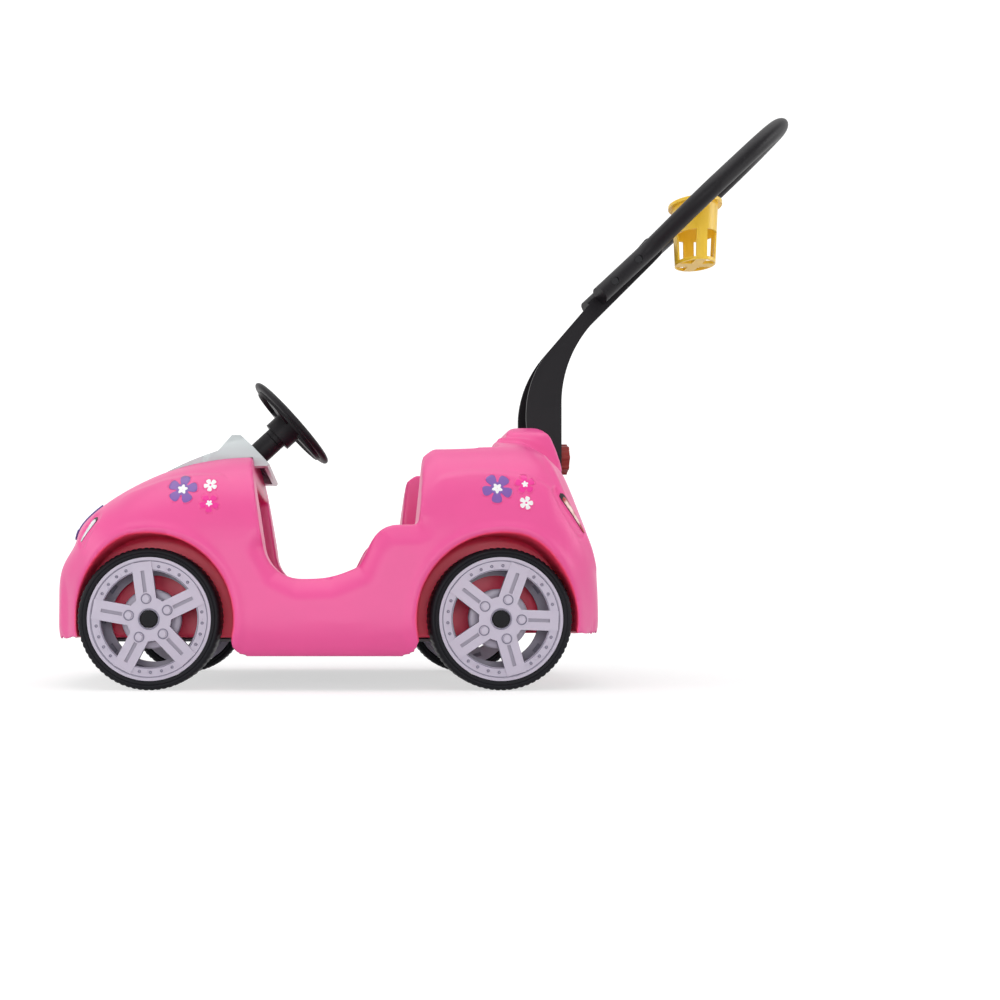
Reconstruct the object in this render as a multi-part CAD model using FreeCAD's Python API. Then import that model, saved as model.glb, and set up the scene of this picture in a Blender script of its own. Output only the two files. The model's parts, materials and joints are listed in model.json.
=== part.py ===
import FreeCAD, Part
import math
import os

# Push car with a folding push handle. Millimetres, nose to -X, handle to +X, floor at Z 0.
V = FreeCAD.Vector
ALONG_Y = V(0, 1, 0)

# Body shell
NOSE_X = -566.7            # foremost point of the nose
TAIL_X = 261.0             # rearmost point of the tail
HALF_WIDTH = 238.0
BODY_WALL = 4.0
SILL_LOW_Z = 48.0          # underside of the sills
BELT_Z = 130.0             # height of the widest line
NOSE_Z = 150.0             # height of the foremost point
HOOD_TOP_Z = 349.0
HOOD_END_X = -270.0
DECK_TOP_Z = 350.0         # top of the rear wings
DECK_END_X = 100.0
TAIL_Z = 175.0             # height of the rearmost point
NOSE_RUN = 125.0           # length over which the nose narrows
TAIL_RUN = 110.0
PLAN_POWER = 2.4           # roundness of the nose and tail seen from above
PLAN_ROOT = 2.2
HOOD_POWER = 1.8           # how late the bonnet falls
HOOD_ROUND = 0.57          # roundness of the bonnet's fall to the nose
DECK_POWER = 4
DECK_ROUND = 0.7           # roundness of the rear deck's fall to the tail
BASE_POWER = 0.3           # squareness of the sections below the belt
BASE_DROP = 14.0           # how far the sections run on below the sills
ARCH_POWER = 0.625         # squareness of the sections above the belt
BUMPER_LOW_Z = 70.0
TAIL_LOW_Z = 77.0
BUMPER_TUCK = 32.0         # how far the nose draws in at its lower edge
TAIL_TUCK = 40.0           # how far the tail draws in at its lower edge
BUMPER_R = 10.0            # rounding of their lower edge
BUMPER_FALL = 8.0          # start of their tuck below the foremost and rearmost points
SILL_END_INSET = 3.0       # lower ends of the sills inside the wheel arches
HEADREST_TOP_Z = 402.0
HEADREST_HALF = 92.0
HEADREST_FRONT_X = 108.0
HEADREST_REAR_X = 174.0
HEADREST_LEAN = 12.0
HEADREST_ROUND = 20.0      # rounding of its top, front and rear
HEADREST_SIDE_ROUND = 34.0
HEADREST_TOP_HALF = 86.0
HEADREST_FLARE = 40.0      # how much wider it is at the belt line
HEADREST_SLOPE = 38.0      # run of its rear slope
HEADREST_FOOT_Z = 325.0    # foot of its rear slope

# Doorway, footwell and seat
DOOR_FRONT_X = -236.0      # foot of the front door edge
DOOR_LEAN = 30.0           # how far the front door edge leans forward to its top
SILL_TOP_Z = 155.0
SEAT_FRONT_X = -110.0
SEAT_SIDE_Z = 232.0        # top of the seat's side bolsters
REAR_POST_X = -27.0        # front edge of the rear wings
SEAT_Z = 192.0             # seat surface at the backrest
BACKREST_X = 80.0
BACKREST_LEAN = 30.0
SILL_SLOPE_RUN = 40.0      # rise of the sill towards the seat
SILL_SLOPE_RISE = 18.0
BOLSTER_RUN = 30.0         # run of the seat's side bolsters up from the sill
POST_LEAN = 13.0
SEAT_TILT = 14.0           # seat's front edge above its rear edge
SEAT_LIP = 10.0            # seat's front edge behind the top of the sill's slope
DOOR_CORNER_R = 55.0
SILL_SLOPE_R = 120.0
BOLSTER_FOOT_R = 8.0
BOLSTER_R = 40.0
POST_FOOT_R = 6.0
POST_TOP_R = 28.0
SEAT_CORNER_R = 28.0
FOOTWELL_AHEAD = 45.0      # front axle to the footwell's front wall
FOOTWELL_FLOOR_Z = 82.0
FOOTWELL_ROOF_Z = 298.0
FOOTWELL_FRONT_R = 22.0
FOOTWELL_REAR_R = 14.0
FOOTWELL_SLOPE = 45.0      # slope between its front wall and its roof
FOOTWELL_SLOPE_R = 26.0
FOOTWELL_INSET = 5.0       # its sides inside the seat's
OPEN_TOP_Z = 450.0         # above everything that the cockpit cuts

# Wheels and axles
FRONT_OVERHANG = 163.7     # front axle behind the nose
REAR_OVERHANG = 172.0      # rear axle ahead of the tail
WHEEL_R = 100.0
TYRE_WIDTH = 52.0
TREAD_EDGE = 6.5           # slope between the tread and the side of the tyre
TREAD_ROUND = 5.0
WALL_ROUND = 2.0
WHEEL_INSET = 18.0         # outer face of the tyres inside the body's side
RIM_R = 86.5
ARCH_GAP = 19.0            # tyre to wheel arch
WELL_GAP = 13.0            # tyre to the inner wall of its well
AXLE_R = 5.0
RUNNING_FIT = 0.05         # radial clearance of turning fits
SEAT_FIT = 0.05            # clearance of pieces that sit in one another
BUSH_R = 9.0
HUB_R = 16.0
BARREL_WALL = 4.0
FACE_THICK = 9.0
SPOKES = 5
SPOKE_WIDTH = 28.0
SPOKE_LAP = 3.0            # how far the spokes run onto the rim
HUB_DISC_R = 31.0
WINDOW_R = 68.0            # outer radius of the windows between the spokes
LUG_RING_R = 28.6
LUG_R = 4.6
LUG_RISE = 2.2
RIVET_RING_R = 73.0
RIVET_R = 1.9
RIVET_RISE = 1.2
RIVET_SPREAD = 10.0        # degrees to each side of a window's middle
SPOKE_GROOVE = 5.0
GROOVE_DEPTH = 2.0
CAP_R = 12.0
CAP_THICK = 6.6
CAP_END = 2.0              # end wall of the caps, over the axle
CAP_GAP = 1.0
CAP_FLOOR = 3.0            # wheel face left under the caps
WASHER_R = 13.0
RIM_STEP = 1.5             # windows' edge below the rim's lip
RIM_LIP = 4.0              # width of the rim's raised lip
FACE_INSET = 2.0           # wheel face inside the tyre's side
BACK_RING_R = 62.0         # inner radius of the ring on the inner wheel halves
DRUM_R = 27.0              # drum behind the hub
DRUM_DEPTH = 20.0
WEB_INSET = 4.0            # webs behind the spokes, narrower on each side
WEB_DEPTH = 8.0
SLOT_COUNT = 10            # slots in the ring of the inner wheel halves
SLOT_RING_R = 73.0
SLOT_LENGTH = 14.0
SLOT_WIDTH = 7.0
FRONT_SPOKE_ANGLE = 97.6
REAR_SPOKE_ANGLE = 70.0

# Underside pan
PAN_THICK = 4.0
PAN_GAP = 1.5              # pan to the walls beside it
PAN_FRONT_RUN = 52.0       # pan's front edge behind the nose
PAN_REAR_RUN = 23.0        # pan's rear edge behind the rear axle
PAN_LOW_Z = 66.0
PAN_WING_INSET = 16.0      # pan's wings to the outside of the sills
SCREW_R = 2.5
SCREW_HEAD_R = 5.0
SCREW_HEAD = 2.0
SCREW_LENGTH = 12.0
SCREW_INSET = 7.0          # screws from the pan's side edges
BOSS_R = 9.0
SCREW_FRONT_RUN = 20.0     # front screws behind the pan's front edge
SCREW_MIDDLE_RUN = 40.0    # middle screws behind the footwell's front wall
SCREW_REAR_RUN = 30.0      # rear screws ahead of the seat

# Dashboard and steering
DASH_HALF = 128.0
DASH_FRONT_RUN = 98.0      # ridge to the front edge
DASH_REAR_RUN = 50.0       # ridge to the rear lip
DASH_OVERHANG = 23.0       # rear lip behind the bonnet's edge
DASH_RISE = 38.0           # ridge above the bonnet
DASH_DROP = 55.0           # rear lip below the ridge
DASH_WALL = 4.0
DASH_SKIRT = 40.0          # how far the dashboard is carried down into the bonnet's line
DASH_FRONT_RISE = 3.0      # front edge above the bonnet
DASH_SLOPE_RUN = 35.0      # ridge to the foot of its front slope
DASH_SLOPE_FALL = 40.0
DASH_RIDGE_LAP = 6.0       # ridge and lip beyond the rear face, which trims them
DASH_LIP_RUN = 24.0        # return under the rear lip
DASH_LIP_DROP = 30.0
DASH_END_RUN = 52.0        # slope of the dashboard's ends
DASH_END_R = 20.0
DASH_END_WALL = 24.0       # solid ends beside the hollow
DASH_FOOT = 6.0            # lower end of the rear plate below the lip
COLUMN_TILT = 42.5         # rise of the steering column towards the driver
SLEEVE_R = 18.0
SLEEVE_LENGTH = 36.0
SHAFT_R = 6.0
SHAFT_IN_WHEEL = 24.0
SHAFT_TAIL = 14.0
COLLAR_R = 11.0
COLLAR_THICK = 6.0
WHEEL_GAP = 0.4            # end play between turning and fixed pieces
STEER_R = 76.0             # steering wheel, to the middle of the rim
STEER_RIM_R = 8.5
STEER_DISH = 37.0          # hub face to rim plane
STEER_HUB_R = 25.0
STEER_HUB_RISE = 2.0       # hub and spokes above the rim's plane
STEER_NECK = 8.0           # narrow start of the hub over the sleeve
STEER_SPOKE_LAP = 6.0      # how far the spokes run into the hub
STEER_SPOKES = 3
STEER_SPOKE_WIDTH = 24.0
STEER_SPOKE_THICK = 8.0
HORN_R = 17.0
HORN_THICK = 8.0
HORN_RISE = 3.0            # button above the hub
HORN_TRAVEL = 2.5
HORN_FIT = 0.3
HORN_SPARE = 1.0           # room under the button at the end of its travel

# Push handle
PIVOT_INSET = 19.0         # pivot ahead of the tail
PIVOT_Z = 166.0
PIVOT_R = 6.0
PIVOT_BOSS_WALL = 8.0
PIVOT_BOSS = 28.0          # length of the rod's bosses beside the slot
PIVOT_BOSS_END = 2.0       # closed end of those bosses
EYE_R = 16.0
STEM_HALF = 37.0           # half width of the stem at the pivot
STEM_TOP_HALF = 20.0       # half width of the stem where the loop joins
STEM_BACK = 27.5           # rear face of the stem ahead of the pivot
STEM_FRONT = 53.2          # front face of the stem ahead of the pivot, at its height
STEM_LEAN = 7.1            # forward lean of the front face
STEM_NARROW_Z = 430.0
STEM_TOP_NARROW_Z = 590.0
STEM_BEND_Z = 469.0        # where the front edge bends back
STEM_BEND_R = 165.0
STEM_BACK_BEND = 46.0      # rear edge's bend above the front edge's
STEM_BACK_BEND_R = 200.0
STEM_HEEL = 26.0           # stem below the pivot
STEM_HEEL_R = 14.0
STEM_FOOT_RISE = 74.0      # where the rear edge runs out to the eye, above the pivot
STEM_FOOT_R = 30.0
STEM_EYE_RISE = 20.0
STEM_EYE_R = 12.0
STEM_EDGE_R = 10.0
STEM_END = 35.0            # stem past the start of the loop
STEM_END_HALF = 18.0       # half depth of the stem's upper end
STEM_WALL = 6.0
STEM_OPEN = 10.0           # how far the stem's channel breaks through its front
SLOT_GAP = 3.0             # handle to each side of its slot
SLOT_REST_GAP = 1.5        # handle to the front wall of its slot
SLOT_STEP = 62.0           # start of the slot's lower flare below the pivot
SLOT_FLARE = 70.0          # room for the folded stem under the tail
LOOP_BACK = 102.0          # where the loop leaves the stem, behind the pivot
LOOP_Z = 671.0
LOOP_TILT = 43.0
LOOP_LENGTH = 278.0
LOOP_HALF = 118.0          # to the middle of the side bars
LOOP_LEG_Y = 38.0
LOOP_LEG = 95.0            # length of the legs beside the stem
LOOP_WIDE_AT = 90.0        # where the side bars run parallel
LOOP_FLARE_AT = 12.0       # where the legs start to spread
LOOP_FLARE_R = 60.0
LOOP_WIDE_R = 70.0
LOOP_END_R = 100.0
BAR_WIDE = 40.0
BAR_THICK = 28.0
BAR_WALL = 4.0
BAR_HOLLOW_AT = 25.0       # where the hollow of the bar starts, past the bolts
BOLT_R = 3.0
BOLT_HEAD_R = 6.0
BOLT_HEAD = 4.0
BOLT_SINK = 5.0            # depth of the bolt pockets in the bar
BOLT_GAP = 0.5             # room round the bolt heads and nuts
BOLT_PLACES = (-20.0, -70.0)

# Lock knob on the stem
KNOB_Z = 353.5
KNOB_R = 24.5
KNOB_THICK = 14.0
KNOB_END = 3.0             # end wall of the knob, over the stud
KNOB_LOBES = 8
KNOB_LOBE_R = 5.0
STUD_R = 5.0
STUD_POINT = 3.0           # reach of the stud's cone into the nut
STUD_TIP_R = 2.5
LOCK_WASHER_R = 14.0
LOCK_WASHER_THICK = 2.4
NUT_R = 9.0
NUT_LENGTH = 16.0
NUT_CONE_R = 7.5
NUT_CONE = 4.5             # depth of the nut's conical mouth
NUT_BORE_R = 3.5
NUT_SINK = 1.0             # nut below the slot's wall
LOCK_BOSS_R = 16.0
LOCK_BOSS_END = 6.0        # closed end of the nut's boss

# Cup holder
CUP_AT = 128.0             # place of the cup's pivot along the loop
CUP_RIM_R = 41.0
CUP_RIM_THICK = 5.0
CUP_TOP_R = 35.0
CUP_LOW_R = 31.0
CUP_WALL = 2.6
CUP_DEPTH = 98.0
CUP_RIM_RISE = 6.0         # rim top above the pivot
CUP_BAND = 50.0            # depth of the closed upper wall
CUP_LEG_WIDTH = 17.0
CUP_CROSS_THICK = 5.0
EAR_WIDTH = 22.0
EAR_THICK = 7.0
PIN_R = 6.0
PIN_LENGTH = 13.0
EAR_GAP = 0.4

# Lamps, grille plate and flower stickers
TRIM_THICK = 2.0
STICKER_THICK = 0.5
LAMP_WIDTH = 11.0
HEADLAMP_BACK = 63.5       # foot of the headlamps behind the nose
HEADLAMP_Z = 209.0
HEADLAMP_RUN = 21.0
HEADLAMP_RISE = 36.0
TAIL_LAMP_AHEAD = 46.0     # foot of the tail lamps ahead of the tail
TAIL_LAMP_Z = 221.0
TAIL_LAMP_RUN = -36.0
TAIL_LAMP_RISE = 56.0
GRILLE_LOW_Z = 216.0
GRILLE_TOP_Z = 266.0
GRILLE_LOW_HALF = 136.0
GRILLE_TOP_HALF = 142.0
GRILLE_LOW_R = 14.0
GRILLE_TOP_R = 22.0
FLOWER_PETALS = 5
FLOWER_R = 21.0
FLOWER_MID_R = 13.0
FLOWER_SMALL_R = 9.0
PETAL_SHARE = 0.38         # a petal's radius as a share of its flower's
PETAL_ROOT = 0.42          # the disc that joins the petals
FLOWER_HEART = 0.36
FLOWER_Z = 282.0
FLOWER_STEP = 39.0         # large flower to the two small ones behind it
FLOWER_UP = 6.0
FLOWER_DOWN = 21.0
FRONT_FLOWER_AFT = 46.0    # large flower behind the front axle
REAR_FLOWER_AFT = -6.0     # large flower behind the rear axle

FRONT_AXLE_X = NOSE_X + FRONT_OVERHANG
REAR_AXLE_X = TAIL_X - REAR_OVERHANG
WHEEL_FACE_Y = HALF_WIDTH - WHEEL_INSET
WELL_WALL_Y = WHEEL_FACE_Y - TYRE_WIDTH - WELL_GAP
FOOTWELL_FRONT_X = FRONT_AXLE_X + FOOTWELL_AHEAD
SEAT_HALF = WELL_WALL_Y - BODY_WALL
FOOTWELL_HALF = SEAT_HALF - FOOTWELL_INSET
PAN_HALF = WELL_WALL_Y - BODY_WALL - PAN_GAP
PAN_FRONT_X = NOSE_X + PAN_FRONT_RUN
PAN_REAR_X = REAR_AXLE_X + PAN_REAR_RUN
DASH_REAR_X = DOOR_FRONT_X - DOOR_LEAN + DASH_OVERHANG
DASH_RIDGE_X = DASH_REAR_X - DASH_REAR_RUN
DASH_FRONT_X = DASH_RIDGE_X - DASH_FRONT_RUN
DASH_RIDGE_Z = HOOD_TOP_Z + DASH_RISE
DASH_REAR_Z = DASH_RIDGE_Z - DASH_DROP
PIVOT_X = TAIL_X - PIVOT_INSET
STEM_REAR_X = PIVOT_X - STEM_BACK
LOOP_X = PIVOT_X + LOOP_BACK
BOLT_SEAT_Y = LOOP_LEG_Y + BAR_WIDE / 2 - BOLT_SINK
ARCH_R = WHEEL_R + ARCH_GAP
BODY_MID = (NOSE_X + TAIL_X) / 2
BODY_HALF_LENGTH = (TAIL_X - NOSE_X) / 2
SLOT_HALF = STEM_HALF + SLOT_GAP
TYRE_IN_Y = WHEEL_FACE_Y - TYRE_WIDTH
FAR_Y = HALF_WIDTH + 60.0


def rounded_wire(corners):
    """Closed wire in the XZ plane through (x, z, radius) corners."""
    count = len(corners)
    starts = []
    arcs = []
    for i in range(count):
        x, z, radius = corners[i]
        here = V(x, 0, z)
        back = V(corners[i - 1][0], 0, corners[i - 1][1]) - here
        ahead = V(corners[(i + 1) % count][0], 0, corners[(i + 1) % count][1]) - here
        if radius == 0:
            starts.append((here, here))
            arcs.append(None)
            continue
        back.normalize()
        ahead.normalize()
        half_angle = back.getAngle(ahead) / 2
        run = radius / math.tan(half_angle)
        middle = back + ahead
        middle.normalize()
        crest = here + middle * (radius / math.sin(half_angle) - radius)
        starts.append((here + back * run, here + ahead * run))
        arcs.append(Part.Arc(here + back * run, crest, here + ahead * run).toShape())
    edges = []
    for i in range(count):
        if arcs[i]:
            edges.append(arcs[i])
        leave = starts[i][1]
        arrive = starts[(i + 1) % count][0]
        if leave.distanceToPoint(arrive) > 1e-6:
            edges.append(Part.LineSegment(leave, arrive).toShape())
    return Part.Wire(edges)


def prism(corners, y_from, y_to, grow=0.0):
    """Side-view outline carried from one Y to another, grown all round if asked."""
    face = Part.Face(rounded_wire(corners))
    if grow:
        face = face.makeOffset2D(grow)
    face.translate(V(0, y_from - grow, 0))
    return face.extrude(V(0, y_to - y_from + 2 * grow, 0))


def box(x0, x1, y0, y1, z0, z1):
    return Part.makeBox(x1 - x0, y1 - y0, z1 - z0, V(x0, y0, z0))


def cylinder_y(x, z, radius, y0, y1):
    return Part.makeCylinder(radius, y1 - y0, V(x, y0, z), ALONG_Y)


def both_sides(shape):
    """The shape and its mirror image across the middle plane."""
    return shape, shape.mirror(V(0, 0, 0), ALONG_Y)


def export(name, *solids):
    shape = solids[0] if len(solids) == 1 else Part.makeCompound(list(solids))
    shape.exportStep("parts/" + name + ".step")


# Body surface: sections across the car, each a rounded box on a flat base

def half_width_at(x):
    front = max(0.0, (NOSE_X + NOSE_RUN - x) / NOSE_RUN)
    rear = max(0.0, (x - TAIL_X + TAIL_RUN) / TAIL_RUN)
    return HALF_WIDTH * (1 - max(front, rear) ** PLAN_POWER) ** (1 / PLAN_ROOT)


def crown_at(x):
    if x < HOOD_END_X:
        share = (HOOD_END_X - x) / (HOOD_END_X - NOSE_X)
        return NOSE_Z + (HOOD_TOP_Z - NOSE_Z) * (1 - share ** HOOD_POWER) ** HOOD_ROUND
    if x > DECK_END_X:
        share = (x - DECK_END_X) / (TAIL_X - DECK_END_X)
        return TAIL_Z + (DECK_TOP_Z - TAIL_Z) * (1 - share ** DECK_POWER) ** DECK_ROUND
    share = (x - HOOD_END_X) / (DECK_END_X - HOOD_END_X)
    return HOOD_TOP_Z + (DECK_TOP_Z - HOOD_TOP_Z) * share


def section_points(x, grow):
    """Points up the right side of one section: a full upper arch on a squarer base."""
    wide = half_width_at(x) + grow
    rise = crown_at(x) + grow - BELT_Z
    drop = BELT_Z - SILL_LOW_Z + BASE_DROP
    place = x + grow * (x - BODY_MID) / BODY_HALF_LENGTH
    points = [V(place, 0, BELT_Z - drop)]
    for degrees in range(-75, 90, 15):
        across = math.cos(math.radians(degrees))
        up = abs(math.sin(math.radians(degrees)))
        if degrees < 0:
            points.append(V(place, wide * across ** BASE_POWER, BELT_Z - drop * up ** BASE_POWER))
        else:
            points.append(V(place, wide * across ** ARCH_POWER, BELT_Z + rise * up ** ARCH_POWER))
    return points + [V(place, 0, BELT_Z + rise)]


def shares_along(points):
    """Share of the way along at each point, so that all sections line up."""
    runs = [a.distanceToPoint(b) for a, b in zip(points, points[1:])]
    return [sum(runs[:i]) / sum(runs) for i in range(len(points))]


def half_block(grow):
    """The right half of the body as one smooth block with no openings."""
    shares = (0.985, 0.93, 0.83, 0.68, 0.45, 0.0)
    places = [NOSE_X + NOSE_RUN * (1 - s) for s in shares]
    straight = TAIL_X - TAIL_RUN - places[-1]
    places += [places[-1] + straight * s for s in (0.2, 0.4, 0.6, 0.8)]
    places += [TAIL_X - TAIL_RUN * (1 - s) for s in reversed(shares)]
    parameters = shares_along(section_points(BODY_MID, grow))
    wires = []
    for x in places:
        points = section_points(x, grow)
        curve = Part.BSplineCurve()
        curve.interpolate(Points=points, Parameters=parameters,
                          InitialTangent=ALONG_Y, FinalTangent=ALONG_Y * -1)
        middle = Part.LineSegment(points[-1], points[0])
        wires.append(Part.Wire([curve.toShape(), middle.toShape()]))
    return Part.makeLoft(wires, True, False)


def joined(half):
    """A right half and its mirror image as one solid."""
    return half.fuse(half.mirror(V(0, 0, 0), ALONG_Y)).removeSplitter()


def headrest(inset):
    """Right half of the headrest, drawn in all round by the inset."""
    low = BELT_Z
    top = HEADREST_TOP_Z - inset
    front_x = HEADREST_FRONT_X + inset
    rear_x = HEADREST_REAR_X - inset
    corners = [
        (front_x - HEADREST_LEAN, low, 0),
        (front_x, top, HEADREST_ROUND - inset),
        (rear_x, top, HEADREST_ROUND - inset),
        (rear_x + HEADREST_SLOPE, HEADREST_FOOT_Z, 0),
        (rear_x + HEADREST_SLOPE, low, 0),
    ]
    across = [
        (0, low, 0),
        (0, top, 0),
        (HEADREST_TOP_HALF - inset, top, HEADREST_SIDE_ROUND - inset),
        (HEADREST_HALF + HEADREST_FLARE - inset, low, 0),
    ]
    front = Part.Face(rounded_wire(across))
    front.rotate(V(0, 0, 0), V(0, 0, 1), 90)
    front.translate(V(front_x - HALF_WIDTH, 0, 0))
    return prism(corners, 0, FAR_Y).common(front.extrude(V(2 * HALF_WIDTH, 0, 0)))


def doorway(grow=0.0):
    post_top = crown_at(REAR_POST_X) + 2
    corners = [
        (DOOR_FRONT_X - 2 * DOOR_LEAN, OPEN_TOP_Z, 0),
        (DOOR_FRONT_X - DOOR_LEAN, crown_at(DOOR_FRONT_X), 0),
        (DOOR_FRONT_X, SILL_TOP_Z, DOOR_CORNER_R),
        (SEAT_FRONT_X - SILL_SLOPE_RUN, SILL_TOP_Z + 2, SILL_SLOPE_R),
        (SEAT_FRONT_X, SILL_TOP_Z + SILL_SLOPE_RISE, BOLSTER_FOOT_R),
        (SEAT_FRONT_X + BOLSTER_RUN, SEAT_SIDE_Z, BOLSTER_R),
        (REAR_POST_X, SEAT_SIDE_Z, POST_FOOT_R),
        (REAR_POST_X + POST_LEAN, post_top, POST_TOP_R),
        (BACKREST_X, post_top, 0),
        (BACKREST_X, OPEN_TOP_Z, 0),
    ]
    return prism(corners, -FAR_Y, FAR_Y, grow)


def footwell(grow=0.0):
    corners = [
        (FOOTWELL_FRONT_X, FOOTWELL_FLOOR_Z, FOOTWELL_FRONT_R),
        (SEAT_FRONT_X - SEAT_LIP, FOOTWELL_FLOOR_Z, FOOTWELL_REAR_R),
        (SEAT_FRONT_X + 2 * SEAT_LIP, SEAT_Z + SEAT_TILT + 2, 0),
        (SEAT_FRONT_X + 2 * SEAT_LIP, FOOTWELL_ROOF_Z, 0),
        (FOOTWELL_FRONT_X + FOOTWELL_SLOPE, FOOTWELL_ROOF_Z, FOOTWELL_SLOPE_R),
        (FOOTWELL_FRONT_X, FOOTWELL_ROOF_Z - FOOTWELL_SLOPE, FOOTWELL_SLOPE_R),
    ]
    return prism(corners, -FOOTWELL_HALF, FOOTWELL_HALF, grow)


def seat_bucket(grow=0.0):
    corners = [
        (SEAT_FRONT_X + SEAT_LIP, SEAT_Z + SEAT_TILT, 0),
        (BACKREST_X, SEAT_Z, SEAT_CORNER_R),
        (BACKREST_X + BACKREST_LEAN, OPEN_TOP_Z, 0),
        (SEAT_FRONT_X + SEAT_LIP, OPEN_TOP_Z, 0),
    ]
    return prism(corners, -SEAT_HALF, SEAT_HALF, grow)


def wheel_wells(grow=0.0):
    wells = []
    for x in (FRONT_AXLE_X, REAR_AXLE_X):
        wells += both_sides(cylinder_y(x, WHEEL_R, ARCH_R + grow, WELL_WALL_Y - grow, FAR_Y))
    return wells


def handle_slot(grow=0.0):
    """Upright slot in the tail, open to the rear and below, with room for the folded stem."""
    front_low = stem_front_x(PIVOT_Z) - SLOT_REST_GAP
    front_top = stem_front_x(OPEN_TOP_Z) - SLOT_REST_GAP
    corners = [
        (front_top, OPEN_TOP_Z, 0),
        (front_low, PIVOT_Z, 0),
        (front_low, PIVOT_Z - SLOT_STEP, 0),
        (front_low - SLOT_FLARE, PIVOT_Z - 2 * SLOT_STEP, 0),
        (front_low - SLOT_FLARE, -SLOT_STEP, 0),
        (TAIL_X + SLOT_STEP, -SLOT_STEP, 0),
        (TAIL_X + SLOT_STEP, OPEN_TOP_Z, 0),
    ]
    return prism(corners, -SLOT_HALF, SLOT_HALF, grow)


def underside_trim():
    """Trims the bumpers, the tail and the sills along their lower edges."""
    nose = [
        (NOSE_X - NOSE_RUN, NOSE_Z - BUMPER_FALL, 0),
        (NOSE_X - 1, NOSE_Z - BUMPER_FALL, 0),
        (NOSE_X + BUMPER_TUCK, BUMPER_LOW_Z, BUMPER_R),
        (FRONT_AXLE_X, BUMPER_LOW_Z, 0),
        (FRONT_AXLE_X, 0, 0),
        (NOSE_X - NOSE_RUN, 0, 0),
    ]
    tail = [
        (TAIL_X + TAIL_RUN, TAIL_Z - BUMPER_FALL, 0),
        (TAIL_X + 1, TAIL_Z - BUMPER_FALL, 0),
        (TAIL_X - TAIL_TUCK, TAIL_LOW_Z, BUMPER_R),
        (REAR_AXLE_X, TAIL_LOW_Z, 0),
        (REAR_AXLE_X, 0, 0),
        (TAIL_X + TAIL_RUN, 0, 0),
    ]
    step = BUMPER_LOW_Z - SILL_LOW_Z
    sill_front = FRONT_AXLE_X + ARCH_R - SILL_END_INSET
    sill_rear = REAR_AXLE_X - ARCH_R + SILL_END_INSET
    sills = [
        (FRONT_AXLE_X, 0, 0),
        (FRONT_AXLE_X, BUMPER_LOW_Z, 0),
        (sill_front, BUMPER_LOW_Z, 0),
        (sill_front, SILL_LOW_Z, 0.9 * step),
        (sill_rear, SILL_LOW_Z, 0.9 * step),
        (sill_rear, BUMPER_LOW_Z, 0),
        (REAR_AXLE_X, BUMPER_LOW_Z, 0),
        (REAR_AXLE_X, 0, 0),
    ]
    return [prism(corners, -FAR_Y, FAR_Y) for corners in (nose, tail, sills)]


def pan_screw_places():
    rows = (PAN_FRONT_X + SCREW_FRONT_RUN, FOOTWELL_FRONT_X + SCREW_MIDDLE_RUN,
            SEAT_FRONT_X - SCREW_REAR_RUN)
    side = PAN_HALF - SCREW_INSET
    return [(x, y) for x in rows for y in (-side, side)]


def pan_bosses(solid):
    """Posts that stand on the pan and take its screws, cut to the solid body."""
    posts = []
    for x, y in pan_screw_places():
        top = FOOTWELL_FLOOR_Z if x > FOOTWELL_FRONT_X else BELT_Z
        post = Part.makeCylinder(BOSS_R, top - PAN_LOW_Z - PAN_THICK, V(x, y, PAN_LOW_Z + PAN_THICK))
        posts.append(post.common(solid))
    return posts


def pan_pilot_holes():
    depth = SCREW_LENGTH - PAN_THICK
    holes = []
    for x, y in pan_screw_places():
        start = V(x, y, PAN_LOW_Z)
        holes.append(Part.makeCylinder(SCREW_R + SEAT_FIT, PAN_THICK + depth + 0.5, start))
    return holes


def lock_wall_x():
    return stem_front_x(KNOB_Z) - SLOT_REST_GAP


def body_bosses(solid):
    """Bosses inside the shell for the pivot rod and the lock nut."""
    boss_end = SLOT_HALF + PIVOT_BOSS
    pivot = cylinder_y(PIVOT_X, PIVOT_Z, PIVOT_R + PIVOT_BOSS_WALL, SLOT_HALF, boss_end)
    lock = V(lock_wall_x() - NUT_LENGTH - LOCK_BOSS_END, 0, KNOB_Z)
    nut = Part.makeCylinder(LOCK_BOSS_R, NUT_LENGTH + 2 * LOCK_BOSS_END, lock, V(1, 0, 0))
    bosses = [*both_sides(pivot), nut]
    return [boss.common(solid) for boss in bosses]


def body_bores():
    axles = [
        cylinder_y(x, WHEEL_R, AXLE_R + SEAT_FIT, -FAR_Y, FAR_Y)
        for x in (FRONT_AXLE_X, REAR_AXLE_X)
    ]
    rod = cylinder_y(PIVOT_X, PIVOT_Z, PIVOT_R + SEAT_FIT, -pivot_rod_half(), pivot_rod_half())
    nut = Part.makeCylinder(
        NUT_R + SEAT_FIT, 2 * NUT_LENGTH, V(lock_wall_x() - NUT_LENGTH, 0, KNOB_Z), V(1, 0, 0)
    )
    column = on_column(along_x(COLLAR_R + SLOT_GAP, -2 * SHAFT_TAIL, -DASH_WALL))
    return axles + [rod, nut, column]


def pivot_rod_half():
    return SLOT_HALF + PIVOT_BOSS - PIVOT_BOSS_END


def body_shell(block):
    openings = [doorway(), footwell(), seat_bucket(), handle_slot()]
    openings += wheel_wells() + underside_trim()
    solid = block.fuse(headrest(0)).cut(openings)
    keep = [doorway(BODY_WALL), footwell(BODY_WALL), seat_bucket(BODY_WALL), handle_slot(BODY_WALL)]
    keep += wheel_wells(BODY_WALL)
    hollow = half_block(-BODY_WALL).fuse(headrest(BODY_WALL)).cut(keep)
    shell = solid.cut(hollow)
    shell = shell.fuse(pan_bosses(solid) + body_bosses(solid))
    return joined(shell.cut(body_bores() + pan_pilot_holes()))


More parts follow.
